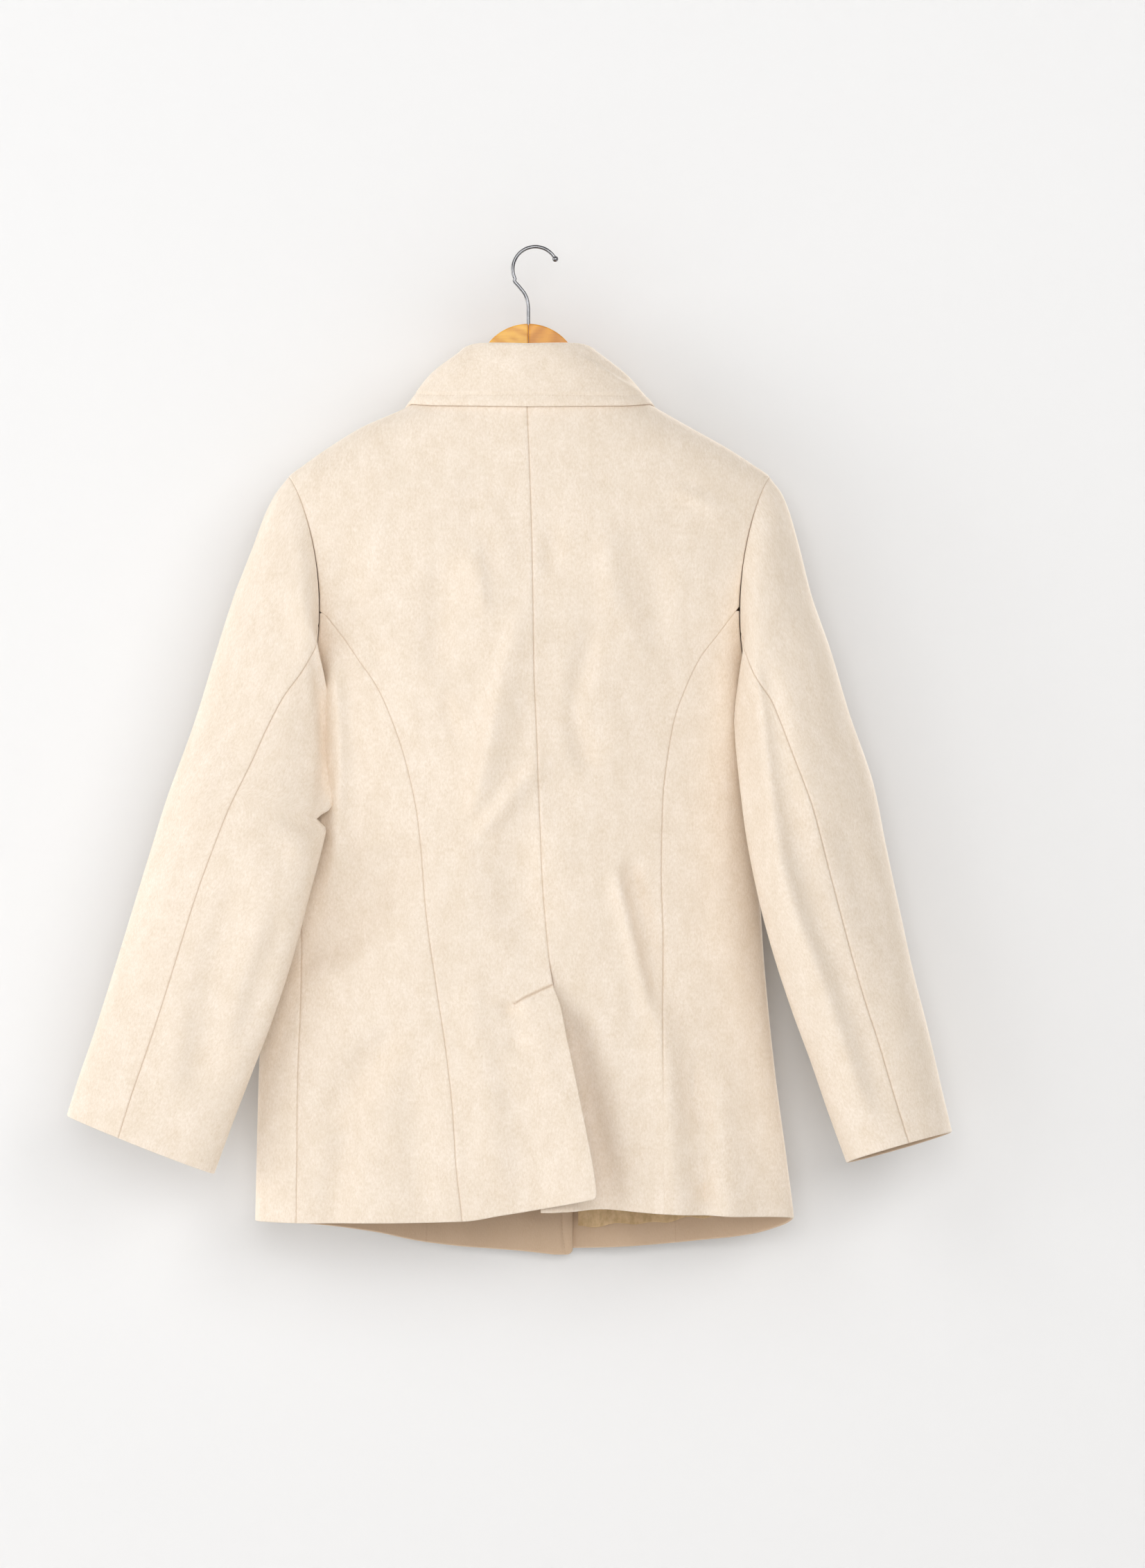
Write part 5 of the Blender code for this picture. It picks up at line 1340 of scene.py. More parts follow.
    def panel(self, name: str, plan: PanelPlan, sink: float, thickness: float) -> Thing:
        """Build one panel.

        Args:
            name: Name of the piece.
            plan: The panel.
            sink: How far all of it lies below the form.
            thickness: Its wall.

        Returns:
            The panel's object.
        """
        form = self.form
        levels = self.levels(plan.top, plan.fine_rows)[:, None]
        sides = (plan.left, plan.right)
        ends = [side(levels) for side in sides]
        for _ in range(4):
            ends = [side(form.warped_z(turn, levels, plan.hem)) for side, turn in zip(sides, ends)]
        seam = np.degrees(self.seam_half / form.half_and_middle(levels)[0])
        start, end = (turn + sign * seam / np.sqrt(np.maximum(cosine(turn) ** 2, 0.04))
                      for sign, turn in zip((1, -1), ends))
        coarse = np.linspace(0.0, 1.0, 25)[None, :]
        row = form.point(start * (1 - coarse) + end * coarse, levels + 0 * coarse)
        width = lengths(row, 1).sum(axis=1)[:, None]
        left_steps = STITCH_STEPS if plan.stitched[0] else EDGE_STEPS
        right_steps = plan.right_steps or (STITCH_STEPS if plan.stitched[1] else EDGE_STEPS)
        across = spread(width, int(np.median(width) / self.column_step), left_steps, right_steps)
        turn = start * (1 - across) + end * across
        z = form.warped_z(turn, levels, plan.hem)
        near_hem = 1 - smoothstep(levels, form.hem_z, form.hem_z + self.corner_high)
        for radius, distance in zip(plan.corners, (across * width, (1 - across) * width)):
            if radius > 0:
                z = z + rounded(distance, radius) * near_hem
        outward, outer = form.normal(turn, z), form.point(turn, z)
        raised = np.full(turn.shape, -sink)
        if plan.raised:
            raised = raised + plan.raised(turn, z, outer[..., 0])
        outer = outer + (BACKWARD if plan.straight else outward) * raised[..., None]
        marked = plan.marked(turn, z, outer[..., 0]) if plan.marked else None
        return Cloth(name, outer, outward, plan.edges, thickness, stitched=plan.stitched,
                     turned_up=plan.turned_up, sewn_above=plan.sewn_above, faint_below=plan.faint_below,
                     marked=marked, upright=True).build()

    def make(self, finishes: Finishes) -> None:
        """Build and dress the panels and the lining."""
        for plan in self.plans():
            made = self.panel("wool_" + plan.name, plan, 0.0, self.wool_thickness)
            hanger = "hanger_left" if "left" in plan.name else "hanger_right"
            dress(made, finishes.wool, plan.name, plan.cut)
        self.make_lining(finishes)

    def make_lining(self, finishes: Finishes) -> None:
        """Build the satin inside the right front, from below the arm to the turned-up hem."""

        def hem(turn: Array) -> Array:
            """Lower edge above the coat's hem, a little uneven."""
            uneven = 1.1 * np.sin(np.radians(turn) * 41) + 0.8 * np.sin(np.radians(turn) * 23 + 1.0)
            return self.right_hem(turn) + self.lining_above_hem + uneven

        def wrinkled(turn: Array, z: Array, x: Array) -> Array:
            """Height of the soft folds that the loose satin takes near its lower edge."""
            waves = 0.9 * np.sin(x / 4.3 + 0.04 * z) + 0.8 * np.sin(x / 7.9 + 1.1)
            waves = waves + 0.5 * np.sin(x / 2.7 + 0.08 * z)
            return (waves - 1.2) * (1 - smoothstep(z, -880.0, -800.0))

        plan = PanelPlan("lining_right", self.lining_top, SIDE_RIGHT.curve("turn"),
                         self.front_edge(self.lining_past_centre, Side.RIGHT), hem,
                         (Edge.PLAIN, Edge.PLAIN, Edge.FREE, Edge.PLAIN), (0.175, 0.482, 0.0748), wrinkled,
                         turned_up=0.0)
        made = self.panel("satin_lining_right", plan, self.lining_sink, self.lining_thickness)
        dress(made, finishes.satin, plan.name, plan.cut)


# ================================================================ sleeves
SLEEVE_COLUMNS = ("s", "ox", "oy", "oz", "ix", "iy", "iz", "back", "front", "back_full", "front_full",
                  "tilt")
LEFT_SLEEVE = Table(SLEEVE_COLUMNS, (
    LEFT_RING,
    (0.04, -240, 1, -232, -201, -9, -388, 42, 41, 20, 15, 0),
    (0.09, -254, 2, -268, -187.5, -20, -400, 43, 42, 14, 6, 0),
    (0.15, -271, 2, -312, -181, -15, -420, 41, 40, 6, 0, 0),
    (0.22, -287, 2, -362, -178, -14, -444, 39, 38, 0, 0, 0),
    (0.30, -306, 2, -424, -178.5, -18, -478, 38, 36, 0, 0, 0),
    (0.40, -332, 2, -496, -187, -38, -527, 37, 35, 0, 0, 0),
    (0.50, -349, 1, -551, -200, -45, -578, 37, 34, 0, 0, 0),
    (0.60, -367, 0, -610, -215.5, -43, -636, 36, 33, 0, 0, 0),
    (0.70, -383.5, -2, -664, -236, -40, -698, 34, 31, 0, 0, 0),
    (0.80, -397, -4, -707, -254.5, -37, -745, 31, 29, 0, 0, 0),
    (0.90, -410, -6, -745, -271.5, -34, -789, 28, 26, 0, 0, 0),
    (1.00, -421, -8, -780, -287, -30, -831, 25, 24, 0, 0, 0),
))
RIGHT_SLEEVE = Table(SLEEVE_COLUMNS, (
    RIGHT_RING,
    (0.04, 226, 1, -230, 192, -6, -388, 42, 41, -18, -15, 0),
    (0.09, 237, 2, -266, 182, -14, -400, 45, 43, -12, -6, 0),
    (0.15, 249, 2, -313, 178, -20, -420, 47, 43, -6, 0, 0),
    (0.22, 264.7, 2, -358, 179, -26, -443, 46, 43, 0, 0, 0),
    (0.30, 282, 2, -416, 182, -34, -476, 45, 42, 0, 0, 0),
    (0.40, 305, 2, -484, 188, -41, -526, 44, 41, 0, 0, 0),
    (0.50, 316, 1, -539, 197.5, -43, -576, 43, 40, 0, 0, 0),
    (0.60, 329, 0, -600, 210, -43, -625, 42, 40, 0, 0, 0),
    (0.70, 341, -2, -655, 228, -40, -681, 41, 39, 0, 0, 0),
    (0.80, 353, -4, -702, 245, -37, -727, 40, 38, 0, 0, 1),
    (0.90, 364, -6, -750, 262, -34, -776, 39, 37, 0, 0, 2.5),
    (1.00, 374.5, -8, -795, 278.5, -30, -821, 38, 36, 0, 0, 4.5),
))
LEFT_SLEEVE_SEAMS = Table(("s", "back", "under"), (
    (0, 122, 232), (0.14, 108, 232), (0.3, 86, 232), (0.42, 77, 232),
    (0.6, 72.5, 232), (1, 74, 232),
))
RIGHT_SLEEVE_SEAMS = Table(("s", "back", "under"), (
    (0, 128, 232), (0.14, 112, 232), (0.3, 96, 232), (0.42, 88, 232),
    (0.6, 84, 232), (1, 82, 232),
))


@dataclass
class Sleeve:
    """A two-piece sleeve: rings from the armhole to the cuff, each with a top and an under half.

    An angle round it is 0 at the outer edge, 90 at the back, 180 at the inner edge and 270 in front.
    """

    form: BodyForm
    side: Side
    rings: Table
    seams: Table
    folds: tuple[Fold, ...]
    uneven: Unevenness
    top_cut: Triple
    under_cut: Triple
    thickness: float = 2.4
    armhole_inset: float = -0.3
    armhole_blend: float = 0.07
    edge_scale: float = 6.3
    folds_from: float = 0.12
    station_step: float = 0.72
    column_step: float = 4.0
    body_clearance: float = 0.5
    turned_up: float = 34.0
    flank: float = 1.0
    flank_end: Pair = (0.36, 0.5)
    strength: float = 1.7
    flank_sink: float = 0.0
    notch: Triple = (0.372, 0.011, 0.0)

    def __post_init__(self) -> None:
        """Read the rings as curves."""
        self.at = self.rings.curves()
        self.ring = self.rings.rows[0]

    def tube(self, theta: Array, s: Array) -> Array:
        """Points of the sleeve's rings, before they meet the body."""
        c, v = cosine(theta), sine(theta)
        outer, inner = (stacked(*(self.at[end + axis](s) for axis in "xyz")) for end in "oi")
        full = np.where(v > 0, self.at["back_full"](s), self.at["front_full"](s))
        deep = np.where(v > 0, -self.at["back"](s), self.at["front"](s))
        slack = self.flank * smoothstep(s, 0.0, 0.06) * (1 - smoothstep(s, *self.flank_end))
        slack = np.where((v > 0) & (c < 0), slack, 0.0)
        round_part = np.abs(v) * (1 - slack) + np.cos(math.pi / 2 * c) * slack
        place, wide, depth = self.notch
        dent = depth * bell(s - place, wide) * (0.5 - 0.5 * c) ** 6 * self.side.value
        x_off = full * np.abs(v) ** self.form.ring_shape + dent
        off = stacked(x_off, deep * round_part, self.at["tilt"](s) * v)
        return (outer + inner) / 2 + (outer - inner) / 2 * c[..., None] + off

    def point(self, theta: Array, station: Array) -> Array:
        """Points of the outer face; the station runs from 0 at the armhole to 100 at the cuff."""
        s = station / 100.0
        start = self.tube(theta, 0.0 * s)
        centre_x, centre_z = (self.ring[1] + self.ring[4]) / 2, (self.ring[3] + self.ring[6]) / 2
        across, up = start[..., 0] - centre_x, start[..., 2] - centre_z
        shrink = 1 - self.armhole_inset / np.hypot(across, up)
        x, z = centre_x + across * shrink, centre_z + up * shrink
        facing = sine(theta)
        turn = np.where(facing > 0, self.form.turn_at(x, z), self.form.turn_at(x, z, self.side))
        held = 1 - smoothstep(s, 0.0, self.armhole_blend)
        points = self.tube(theta, s) + (self.form.point(turn, z) - start) * held[..., None]
        x, z = points[..., 0], points[..., 2]
        uneven = self.uneven.height_at(x, z)
        rises = (self.strength * fold_sum(self.folds, x, z) + uneven) * smoothstep(facing, 0.0, 0.5)
        lifted = (rises - uneven * smoothstep(-facing, 0.0, 0.5)) * smoothstep(s, 0.0, self.folds_from)
        points = points + BACKWARD * lifted[..., None]
        sunk = self.flank_sink * smoothstep(s, 0.03, 0.10) * (1 - smoothstep(s, 0.30, 0.38))
        pushed = self.form.kept_outside(points, self.body_clearance * smoothstep(s, 0.0, 0.04) - sunk)
        part = smoothstep(s, 0.0, 0.03)[..., None]
        return points * (1 - part) + pushed * part

    def half(self, name: str, stations: Array, start: Array, end: Array) -> Thing:
        """Build the top or the under sleeve.

        Args:
            name: Name of the piece.
            stations: Stations of its rows, as one column.
            start: Angle at which each row starts.
            end: Angle at which each row ends.

        Returns:
            The piece.
        """
        coarse = np.linspace(0.0, 1.0, 49)[None, :]
        steps = lengths(self.point(start * (1 - coarse) + end * coarse, stations + 0 * coarse), 1)
        width = steps.sum(axis=1)[:, None]
        across = spread(width, int(np.median(width) / self.column_step), EDGE_STEPS, EDGE_STEPS)
        arc = np.pad(np.cumsum(steps, axis=1), ((0, 0), (1, 0))) / width
        part = np.stack([np.interp(place, run, coarse[0]) for place, run in zip(across, arc)])
        theta, along = start * (1 - part) + end * part, stations + 0 * across
        outward = normals_of(self.point, theta, np.clip(along, 0.02, 99.98)) * self.side.value
        edges = (Edge.SEAM, Edge.SEAM, Edge.FREE, Edge.SEAM)
        return Cloth(name, self.point(theta, along)[::-1], outward[::-1], edges, self.thickness,
                     turned_up=self.turned_up).build()

    def make(self, finishes: Finishes) -> None:
        """Build and dress both halves."""
        name, at = self.side.name.lower(), self.seams.curves()
        close = np.array(EDGE_STEPS) / self.edge_scale
        middle = np.linspace(close[-1], 100 - close[-1], int((100 - 2 * close[-1]) / self.station_step))
        stations = np.concatenate((close[:-1], middle, 100 - close[:-1][::-1]))[:, None]
        back, under = (at[seam](stations / 100.0) for seam in ("back", "under"))
        for node, start, end, cut in (("top_sleeve_" + name, under - 360, back, self.top_cut),
                                      ("under_sleeve_" + name, back, under, self.under_cut)):
            made = self.half("wool_" + node, stations, start, end)
            dress(made, finishes.wool, node, cut)


# ================================================================ collar
COLLAR = Table(("turn", "fold_half", "fold_depth", "fold_z", "edge_turn", "edge_z", "rise"), (
    (0, 60, 44, -93.2, 0, -146, 2.8),
    (45, 60, 44, -92, 45, -145, 2.5),
    (90, 60, 45, -100, 90, -141.5, 1.7),
    (108, 60, 47, -107, 131, -160, 4),
    (128, 59, 50, -118, 152, -185, 7),
    (152, 56, 53, -137, 161, -210, 7.5),
    (177, 54, 54, -155, 167.5, -228, 7.5),
))
COLLAR_FOLDS = (
    Fold(((-100, 92, 14, 0), (-85, 84, 14, -1.6), (-62, 62, 14, -2.2), (-40, 44, 12, -1.6),
          (-30, 36, 10, 0))),
    Fold(((-95, 68, 12, 0), (-75, 56, 12, 1.4), (-55, 46, 12, 1.5), (-36, 38, 10, 0))),
    Fold(((-92, -70, 16, 0), (-70, -58, 16, -1.4), (-45, -46, 14, -1), (-32, -40, 12, 0))),
    Fold(((-96, 8, 20, 0), (-70, 14, 20, -0.9), (-40, 20, 18, -0.8), (-30, 22, 16, 0))),
)
FALL_ROWS = (18.0, 16.4, 15.2, 14.2, 13.3, 12.2, 10.5, 8.0, 5.6, 3.8, 2.6, 1.7, 1.0, 0.45, 0.0)


@dataclass
class Collar:
    """The turned-down collar and the stand inside it."""

    form: BodyForm
    centre_x: float = -6.2
    roll: float = 4.5
    belly: float = 3.5
    unevenness: float = 1.6
    front_turn: float = 176.5
    roll_end: float = 30.0
    roll_sweep: float = 150.0
    stand_tuck: float = 1.0
    stand_foot: float = 2.0
    thickness: float = 2.4
    columns: int = 170
    uneven: Unevenness = field(default_factory=lambda: Unevenness(seed=31))

    def __post_init__(self) -> None:
        """Read the rows as curves."""
        self.at = COLLAR.curves()

    def fold(self, turn: Array) -> tuple[Array, Array]:
        """Centre of the rolled fold, and the level direction away from the neck."""
        half, depth, z = (self.at[k](np.abs(turn)) for k in ("fold_half", "fold_depth", "fold_z"))
        s, c = sine(turn), cosine(turn)
        return stacked(self.centre_x + half * s, -depth * c, z), unit(stacked(depth * s, -half * c, 0 * z))

    def fall_point(self, turn: Array, v: Array) -> Array:
        """Outer face of the collar: over the fold, then down to its edge at v = 100."""
        centre, away = self.fold(turn)
        edge_turn, edge_z, rise = (self.at[k](np.abs(turn)) for k in ("edge_turn", "edge_z", "rise"))
        edge_turn = np.sign(turn) * edge_turn
        edge = self.form.point(edge_turn, edge_z) + self.form.normal(edge_turn, edge_z) * rise[..., None]
        angle = np.radians(np.clip(v / self.roll_end, 0, 1) * self.roll_sweep)[..., None]
        rolled = centre + self.roll * (-away * np.cos(angle) + UP * np.sin(angle))
        t = np.clip((v - self.roll_end) / (100 - self.roll_end), 0, 1)[..., None]
        uneven = self.unevenness * self.uneven.height_at(turn * 1.1, v * 0.5)
        belly = (self.belly + fold_sum(COLLAR_FOLDS, turn, -v) + uneven)[..., None]
        return rolled + (edge - rolled) * t + belly * 4 * t * (1 - t) * (away + UP) / math.sqrt(2)

    def stand_point(self, turn: Array, v: Array) -> Array:
        """Outer face of the stand, from the neck seam at v = 0 to the fold at v = 100."""
        centre, away = self.fold(turn)
        top = centre - away * (self.roll - self.thickness) - UP * self.stand_tuck
        near = (turn - 0.1, turn, turn + 0.1)
        before, foot, after = (self.form.point(place, self.form.neck_z(place)) for place in near)
        outward = self.form.normal(turn, self.form.neck_z(turn))
        foot = foot + unit(np.cross(outward, after - before)) * self.stand_foot
        return foot + (top - foot) * v[..., None] / 100

    def make(self, finishes: Finishes) -> None:
        """Build and dress the collar and its stand."""
        turns = np.linspace(-self.front_turn, self.front_turn, self.columns)
        ends = self.front_turn - np.array(EDGE_STEPS[:-1]) * 0.9
        turns = np.unique(np.round(np.concatenate((turns, ends, -ends)), 3))
        fall = np.concatenate((np.linspace(0.5, 34, 14), np.linspace(37, 80, 14), 100 - np.array(FALL_ROWS)))
        stand = np.linspace(0.0, 100.0, 12)
        for node, surface, rows, facing, end, cut in (
            ("collar_fall", self.fall_point, fall, -1, Edge.FREE, (0.548, 0.100, 0.0352)),
            ("collar_stand", self.stand_point, stand, 1, Edge.PLAIN, (0.399, 0.031, 0.0079)),
        ):
            v, turn = np.meshgrid(rows, turns, indexing="ij")
            outward = normals_of(surface, turn, np.clip(v, 0.02, 99.98)) * facing
            sewn = end is Edge.FREE
            made = Cloth("wool_" + node, surface(turn, v), outward, (Edge.FREE, Edge.FREE, Edge.PLAIN, end),
                         self.thickness, stitched=(sewn, sewn, False, sewn)).build()
            dress(made, finishes.wool, node, cut)


# ================================================================ buttons
@dataclass
class Fastening:
    """The four buttons of the closed front, their thread and the buttonholes behind them."""

    form: BodyForm
    body: CoatBody
    heights: Row = (-205.0, -345.0, -485.0, -625.0)
    radius: float = 13.0
    thick: float = 4.2
    rim: float = 2.6
    dish: float = 1.2
    sides: int = 72
    hole_radius: float = 1.1
    hole_off: float = 2.3
    rest: float = 0.6
    thread_radius: float = 0.45
    thread_apart: float = 0.315
    thread_rise: float = 0.55
    thread_dive: float = 3.2
    buttonhole_from: float = -3.5
    buttonhole_long: float = 29.0
    buttonhole_wide: float = 3.6
    buttonhole_thread: float = 0.75
    buttonhole_off: float = 0.15

    def above(self, x: Array, z: Array, lift: float) -> tuple[Vector, Vector]:
        """Point above the front's face, and the direction away from it."""
        turn = self.form.turn_at(x, z, Side.RIGHT)
        outward = Vector(self.form.normal(turn, z))
        return Vector(self.form.point(turn, z)) + outward * lift, outward

    def seat(self, z: float) -> tuple[Vector, Vector]:
        """Foot of a button on the button line, and the direction it faces."""
        return self.above(self.body.centre_front(np.array(z)), np.array(z), self.body.layer + self.rest)

    def button(self, number: int, z: float) -> Thing:
        """Turn one button and sink its four holes."""
        r, t = self.radius, self.thick
        profile = ((0.0, t - self.dish), (5.0, t - self.dish), (r - self.rim - 1.6, t - self.dish + 0.12),
                   (r - self.rim - 0.5, t - 0.35), (r - self.rim + 0.2, t), (r - 1.2, t), (r - 0.4, t - 0.3),
                   (r, t - 1.0), (r, 1.9), (r - 0.5, 1.2), (r - 2.5, 0.0), (0.0, 0.0))
        mesh = bpy.data.meshes.new("profile")
        mesh.from_pydata([(a * MM, 0.0, b * MM) for a, b in profile],
                         [(i, i + 1) for i in range(len(profile) - 1)], [])
        made = modified(placed(f"horn_button_{number}", mesh), "SCREW", axis="Z", steps=self.sides,
                        render_steps=self.sides, use_merge_vertices=True, merge_threshold=0.00001)
        for dx, dy in ((1, 1), (-1, 1), (1, -1), (-1, -1)):
            made = bored(made, (dx * self.hole_off, dy * self.hole_off, 0.0), self.hole_radius, 20.0, 20)
        turned_out(made.data)
        foot, outward = self.seat(z)
        made.data.transform(outward.to_track_quat("Z", "Y").to_matrix().to_4x4())
        made.data.transform(Matrix.Translation(foot * MM))
        smoothed(made.data, 40)
        return made

    def thread(self, number: int, z: float) -> Thing:
        """Sew the crossed stitches through the holes."""
        foot, outward = self.seat(z)
        turn = outward.to_track_quat("Z", "Y").to_matrix()
        t = np.linspace(0.0, 1.0, 11)
        out = self.hole_off * (1 - 2 * t)
        rise = self.thick - self.dish + self.thread_rise - self.thread_dive * np.abs(2 * t - 1) ** 6
        parts = []
        for off in (-self.thread_apart, self.thread_apart):
            for slant, lift in ((1, 0.3), (-1, 0.0)):
                local = stacked(out + off * slant, out * slant - off, rise + lift)
                points = [foot + turn @ Vector(place) for place in local]
                parts.append(tube_mesh(f"thread_part_{len(parts)}", points, self.thread_radius, 6))
        return joined(f"button_thread_{number}", parts)

    def buttonhole(self, number: int, z: float) -> Thing:
        """Work the stitched rim of a buttonhole on the right front."""
        points = []
        long, wide = self.buttonhole_long / 2, self.buttonhole_wide / 2
        for angle in np.linspace(0, 2 * math.pi, 60, endpoint=False):
            c, s = math.cos(angle), math.sin(angle)
            across = self.buttonhole_from + long + long * math.copysign(abs(c) ** 0.35, c)
            height = np.array(z + wide * math.copysign(abs(s) ** 0.8, s))
            x = self.body.centre_front(height) + across
            turn = self.form.turn_at(x, height, Side.RIGHT)
            lift = float(self.body.front_lapped(turn, height, x)) + self.buttonhole_off
            points.append(self.above(x, height, lift)[0])
        return tube_mesh(f"buttonhole_{number}", points, self.buttonhole_thread, 8, closed=True)

    def make(self, finishes: Finishes) -> None:
        """Build and dress all of them."""
        for number, z in enumerate(self.heights, start=1):
            dress(self.button(number, z), finishes.horn, f"button_{number}")
            dress(self.thread(number, z), finishes.brown_thread)
            dress(self.buttonhole(number, z), finishes.thread)


# ================================================================ hanger and hook
@dataclass
class Hanger:
    """The wooden hanger: two halves that meet at the middle, with the hook's hole."""

    form: BodyForm
    x: float = -6.2
    apex_z: float = -68.2
    arc_radius: float = 46.0
    arc_end: float = 36.0
    thick: float = 13.0
    bevel: float = 3.2
    reach: float = 205.0
    seat: float = 5.0
    shoulder: Pair = (52.0, -105.0)
    arm_from: float = 68.0
    tip: float = 5.0
    end_z: float = -212.0
    joint_gap: float = 0.3
    hole_radius: float = 1.9
    hole_long: float = 60.0
    foot_z: float = -93.0
    lower: Table = Table(("u", "z"), ((0, -127), (40, -133), (85, -151), (140, -183), (190, -214)))

    def shoulder_line(self, u: float) -> float:
        """Height of the lower of the two shoulder lines at a distance from the middle."""
        zs = np.linspace(self.form.neck_side_z, self.form.neck_warp_from, 60)
        left, right = self.x - self.form.at["left"](zs), self.form.at["right"](zs) - self.x
        return float(min(np.interp(u, left, zs), np.interp(u, right, zs)))

    def outline(self, side: Side) -> list[Pair]:
        """Outline of one half, from the joint round to its foot."""
        joint, low = self.joint_gap / 2, self.lower.curve("z")
        points = [(u, self.apex_z - self.arc_radius + math.sqrt(self.arc_radius ** 2 - u ** 2))
                  for u in np.linspace(joint, self.arc_end, 26)]
        points.append(self.shoulder)
        points += [(u, self.shoulder_line(u) - self.seat)
                   for u in np.linspace(self.arm_from, self.reach - self.tip, 24)]
        points.append((self.reach, self.shoulder_line(self.reach) - self.seat - self.tip))
        points.append((self.reach, self.end_z))
        points += [(u, float(low(u))) for u in np.linspace(self.reach - 2 * self.tip, joint, 24)]
        return [(self.x + side.value * u, z) for u, z in points]

    def half(self, side: Side) -> Thing:
        """Saw, round and bore one half."""
        curve = bpy.data.curves.new("outline", "CURVE")
        curve.dimensions = "2D"
        curve.fill_mode = "BOTH"
        curve.extrude = self.thick / 2 * MM
        outline = self.outline(side)
        spline = curve.splines.new("POLY")
        spline.points.add(len(outline) - 1)
        for point, (x, z) in zip(spline.points, outline):
            point.co = (x * MM, z * MM, 0.0, 1.0)
        spline.use_cyclic_u = True
        made = placed("wood_hanger_" + side.name.lower(), curve)
        made.rotation_euler = (math.radians(90), 0.0, 0.0)
        made = settled(made)
        reworked(made.data, lambda work: bmesh.ops.remove_doubles(work, verts=work.verts, dist=0.00001))
        made = modified(made, "BEVEL", width=self.bevel * MM, segments=5, limit_method="ANGLE",
                        angle_limit=math.radians(60))
        middle = (self.x, 0.0, self.foot_z - self.joint_gap + self.hole_long / 2)
        made = bored(made, middle, self.hole_radius, self.hole_long, 32)
        smoothed(made.data, 35)
        return made

    def make(self, finishes: Finishes) -> None:
        """Build and dress both halves."""
        dress(self.half(Side.LEFT), finishes.wood_left, "hanger_left")
        dress(self.half(Side.RIGHT), finishes.wood_right, "hanger_right")


@dataclass
class Hook:
    """The wire hook with its ball tip."""

    wire: float = 1.6
    bow: float = 18.6
    ball: float = 2.7
    tip_angle: float = 27.0
    neck_angle: float = 205.0
    neck: Rows = ((-19.2, -28.0), (-14.3, -34.6), (-9.2, -41.4), (-7.0, -47.5), (-6.2, -55.0), (-6.2, -66.0),
                  (-6.2, -93.0))

    def path(self) -> Array:
        """Centre line from the tip to the foot."""
        radius, turns = self.bow + self.wire, np.linspace(self.tip_angle, self.neck_angle, 64)
        arc = stacked(radius * cosine(turns), radius * sine(turns) - self.bow)
        bend = np.concatenate((arc[-2:], self.neck))
        along = np.pad(np.cumsum(lengths(bend, 0)), (1, 0))
        fine = np.linspace(0.0, along[-1], 80)[4:]
        rest = stacked(*(smooth_curve(along, column)(fine) for column in bend.T))
        x, z = np.concatenate((arc, rest)).T
        return stacked(x, 0.0, z)

    def make(self, finishes: Finishes) -> None:
        """Build and dress the hook."""
        path, mesh = self.path(), bpy.data.meshes.new("hook_ball")
        reworked(mesh, lambda work: bmesh.ops.create_uvsphere(work, u_segments=32, v_segments=20,
                                                              radius=self.ball * MM))
        ball = placed("hook_ball", mesh)
        ball.location = Vector(path[0]) * MM
        ball = settled(ball)
        made = tube_mesh("chrome_hook", path, self.wire, 24)
        made = modified(made, "BOOLEAN", operation="UNION", object=ball)
        bpy.data.objects.remove(ball)
        smoothed(made.data, 45)
        dress(made, finishes.chrome, "hook")


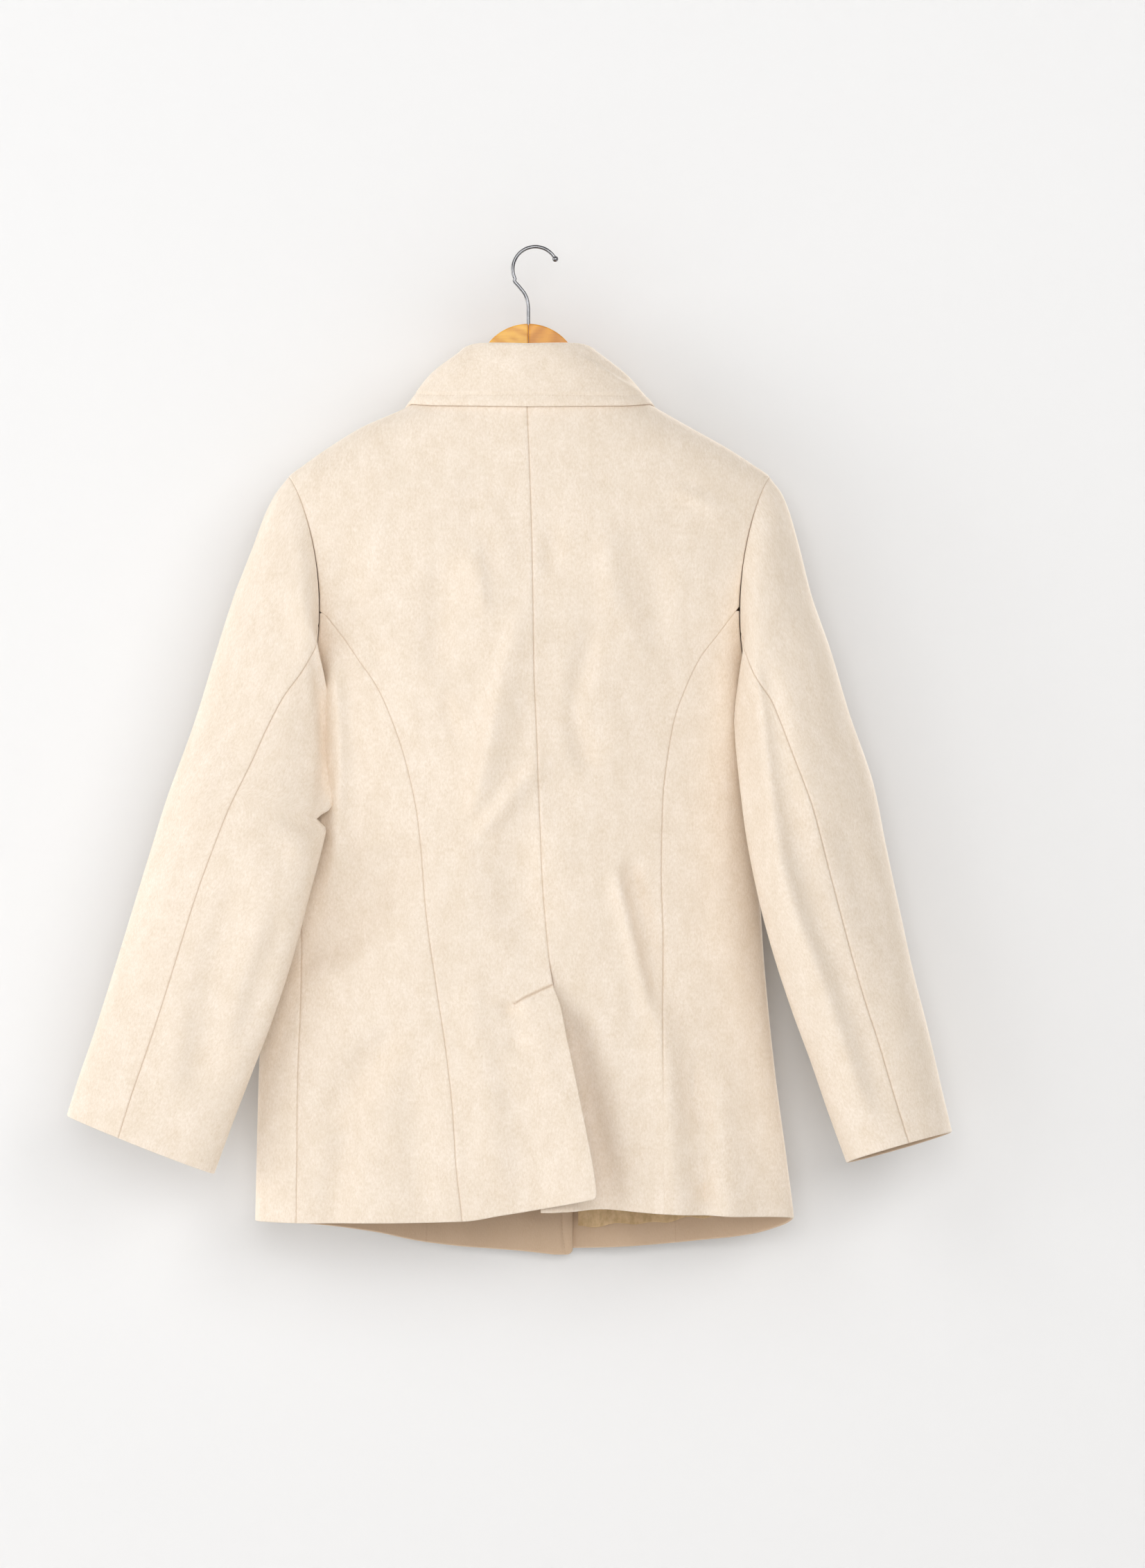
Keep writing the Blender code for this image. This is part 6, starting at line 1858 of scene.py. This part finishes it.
# ================================================================ studio
@dataclass
class Studio:
    """Pale wall close behind the coat, pale floor, soft lights and the camera.

    A light's numbers are its turn from the coat's back towards the wearer's right and its elevation in
    degrees, its distance from the coat's middle and its diameter in metres, and its power in watts.
    """

    wall_y: float = 70.0
    floor_z: float = -1600.0
    reach: float = 3200.0
    wall_colour: Colour = colour(0.88, 0.875, 0.87)
    camera_at: Triple = (0.03348, -5.030, -0.48205)
    lens: float = 128.3
    world: float = 0.16
    middle_z: float = -0.48
    lights: tuple[tuple[str, Row], ...] = (
        ("front", (0.0, 12.0, 5.7, 3.5, 106.0)),
        ("raking", (-75.0, 5.0, 4.5, 2.6, 52.0)),
        ("left_level", (-50.0, 0.0, 4.5, 2.6, 24.0)),
        ("left_high", (-40.0, 35.0, 4.5, 2.6, 23.0)),
        ("right_high", (35.0, 22.0, 4.8, 2.9, 57.0)),
        ("behind", (150.0, 20.0, 4.6, 2.9, 150.0)),
        ("behind_left", (-125.0, 5.0, 4.6, 2.9, 70.0)),
    )

    def surface(self) -> bpy.types.Material:
        """Matt pale paint that shows from its front only."""
        made = bpy.data.materials.new("pale_wall")
        made.use_nodes = True
        nodes = Shading(made.node_tree)
        made.node_tree.nodes.clear()
        paint = nodes.add("ShaderNodeBsdfDiffuse", {"Color": self.wall_colour}).outputs[0]
        through = nodes.add("ShaderNodeBsdfTransparent").outputs[0]
        part = nodes.math("MAXIMUM", nodes.add("ShaderNodeNewGeometry").outputs["Backfacing"],
                          nodes.add("ShaderNodeLightPath").outputs["Is Shadow Ray"])
        mixed = nodes.add("ShaderNodeMixShader", {0: part, 1: paint, 2: through}).outputs[0]
        nodes.add("ShaderNodeOutputMaterial", {"Surface": mixed})
        return made

    def plane(self, name: str, corners: Rows, finish: bpy.types.Material) -> None:
        """Make one flat piece of the stage."""
        mesh = bpy.data.meshes.new(name)
        mesh.from_pydata([tuple(c * MM for c in corner) for corner in corners], [], [(0, 1, 2, 3)])
        mesh.materials.append(finish)
        placed(name, mesh)

    def light(self, name: str, azimuth: float, elevation: float, distance: float, size: float,
              power: float) -> None:
        """Hang one soft light that faces the coat. One from behind the wall throws no bounced light."""
        data = bpy.data.lights.new(name, "AREA")
        data.shape = "DISK"
        data.size = size
        data.energy = power
        made = placed(name, data)
        a, e = math.radians(azimuth), math.radians(elevation)
        away = Vector((math.sin(a) * math.cos(e), -math.cos(a) * math.cos(e), math.sin(e)))
        made.location = Vector((0.0, 0.0, self.middle_z)) + away * distance
        made.rotation_euler = (-away).to_track_quat("-Z", "Y").to_euler()
        made.visible_camera = False
        if abs(azimuth) > 90:
            data.cycles.max_bounces = 0

    def make(self) -> None:
        """Set up the stage, the lights and the camera."""
        finish = self.surface()
        r, y, z = self.reach, self.wall_y, self.floor_z
        self.plane("studio_wall", ((-r, y, z), (r, y, z), (r, y, r), (-r, y, r)), finish)
        self.plane("studio_floor", ((-r, -2 * r, z), (r, -2 * r, z), (r, y, z), (-r, y, z)), finish)
        for name, numbers in self.lights:
            self.light(name, *numbers)
        scene = bpy.context.scene
        scene.world = bpy.data.worlds.new("studio_air")
        scene.world.use_nodes = True
        background = scene.world.node_tree.nodes["Background"]
        background.inputs["Color"].default_value = colour(1.0, 1.0, 1.0)
        background.inputs["Strength"].default_value = self.world
        scene.view_settings.view_transform = "Standard"
        scene.view_settings.look = "None"
        data = bpy.data.cameras.new("camera")
        data.lens = self.lens
        data.sensor_width = 36.0
        scene.camera = placed("camera", data)
        scene.camera.location = self.camera_at
        scene.camera.rotation_euler = (math.radians(90), 0.0, 0.0)


def main() -> None:
    """Build the coat, its hanger and the studio."""
    logging.basicConfig(level=logging.INFO, format="%(message)s")
    Studio().make()
    finishes = Finishes()
    form = BodyForm()
    body = CoatBody(form)
    body.make(finishes)
    Sleeve(form, Side.LEFT, LEFT_SLEEVE, LEFT_SLEEVE_SEAMS, LEFT_SLEEVE_FOLDS, Unevenness(seed=11),
           (0.307, 0.625, 0.1185), (0.157, 0.509, 0.0667), flank=0.45, flank_sink=8.0,
           notch=(0.372, 0.011, 11.0)).make(finishes)
    Sleeve(form, Side.RIGHT, RIGHT_SLEEVE, RIGHT_SLEEVE_SEAMS, RIGHT_SLEEVE_FOLDS, Unevenness(seed=23),
           (0.313, 0.622, 0.1118), (0.132, 0.498, 0.0556)).make(finishes)
    Collar(form).make(finishes)
    Fastening(form, body).make(finishes)
    Hanger(form).make(finishes)
    Hook().make(finishes)


if __name__ == "__main__":
    main()
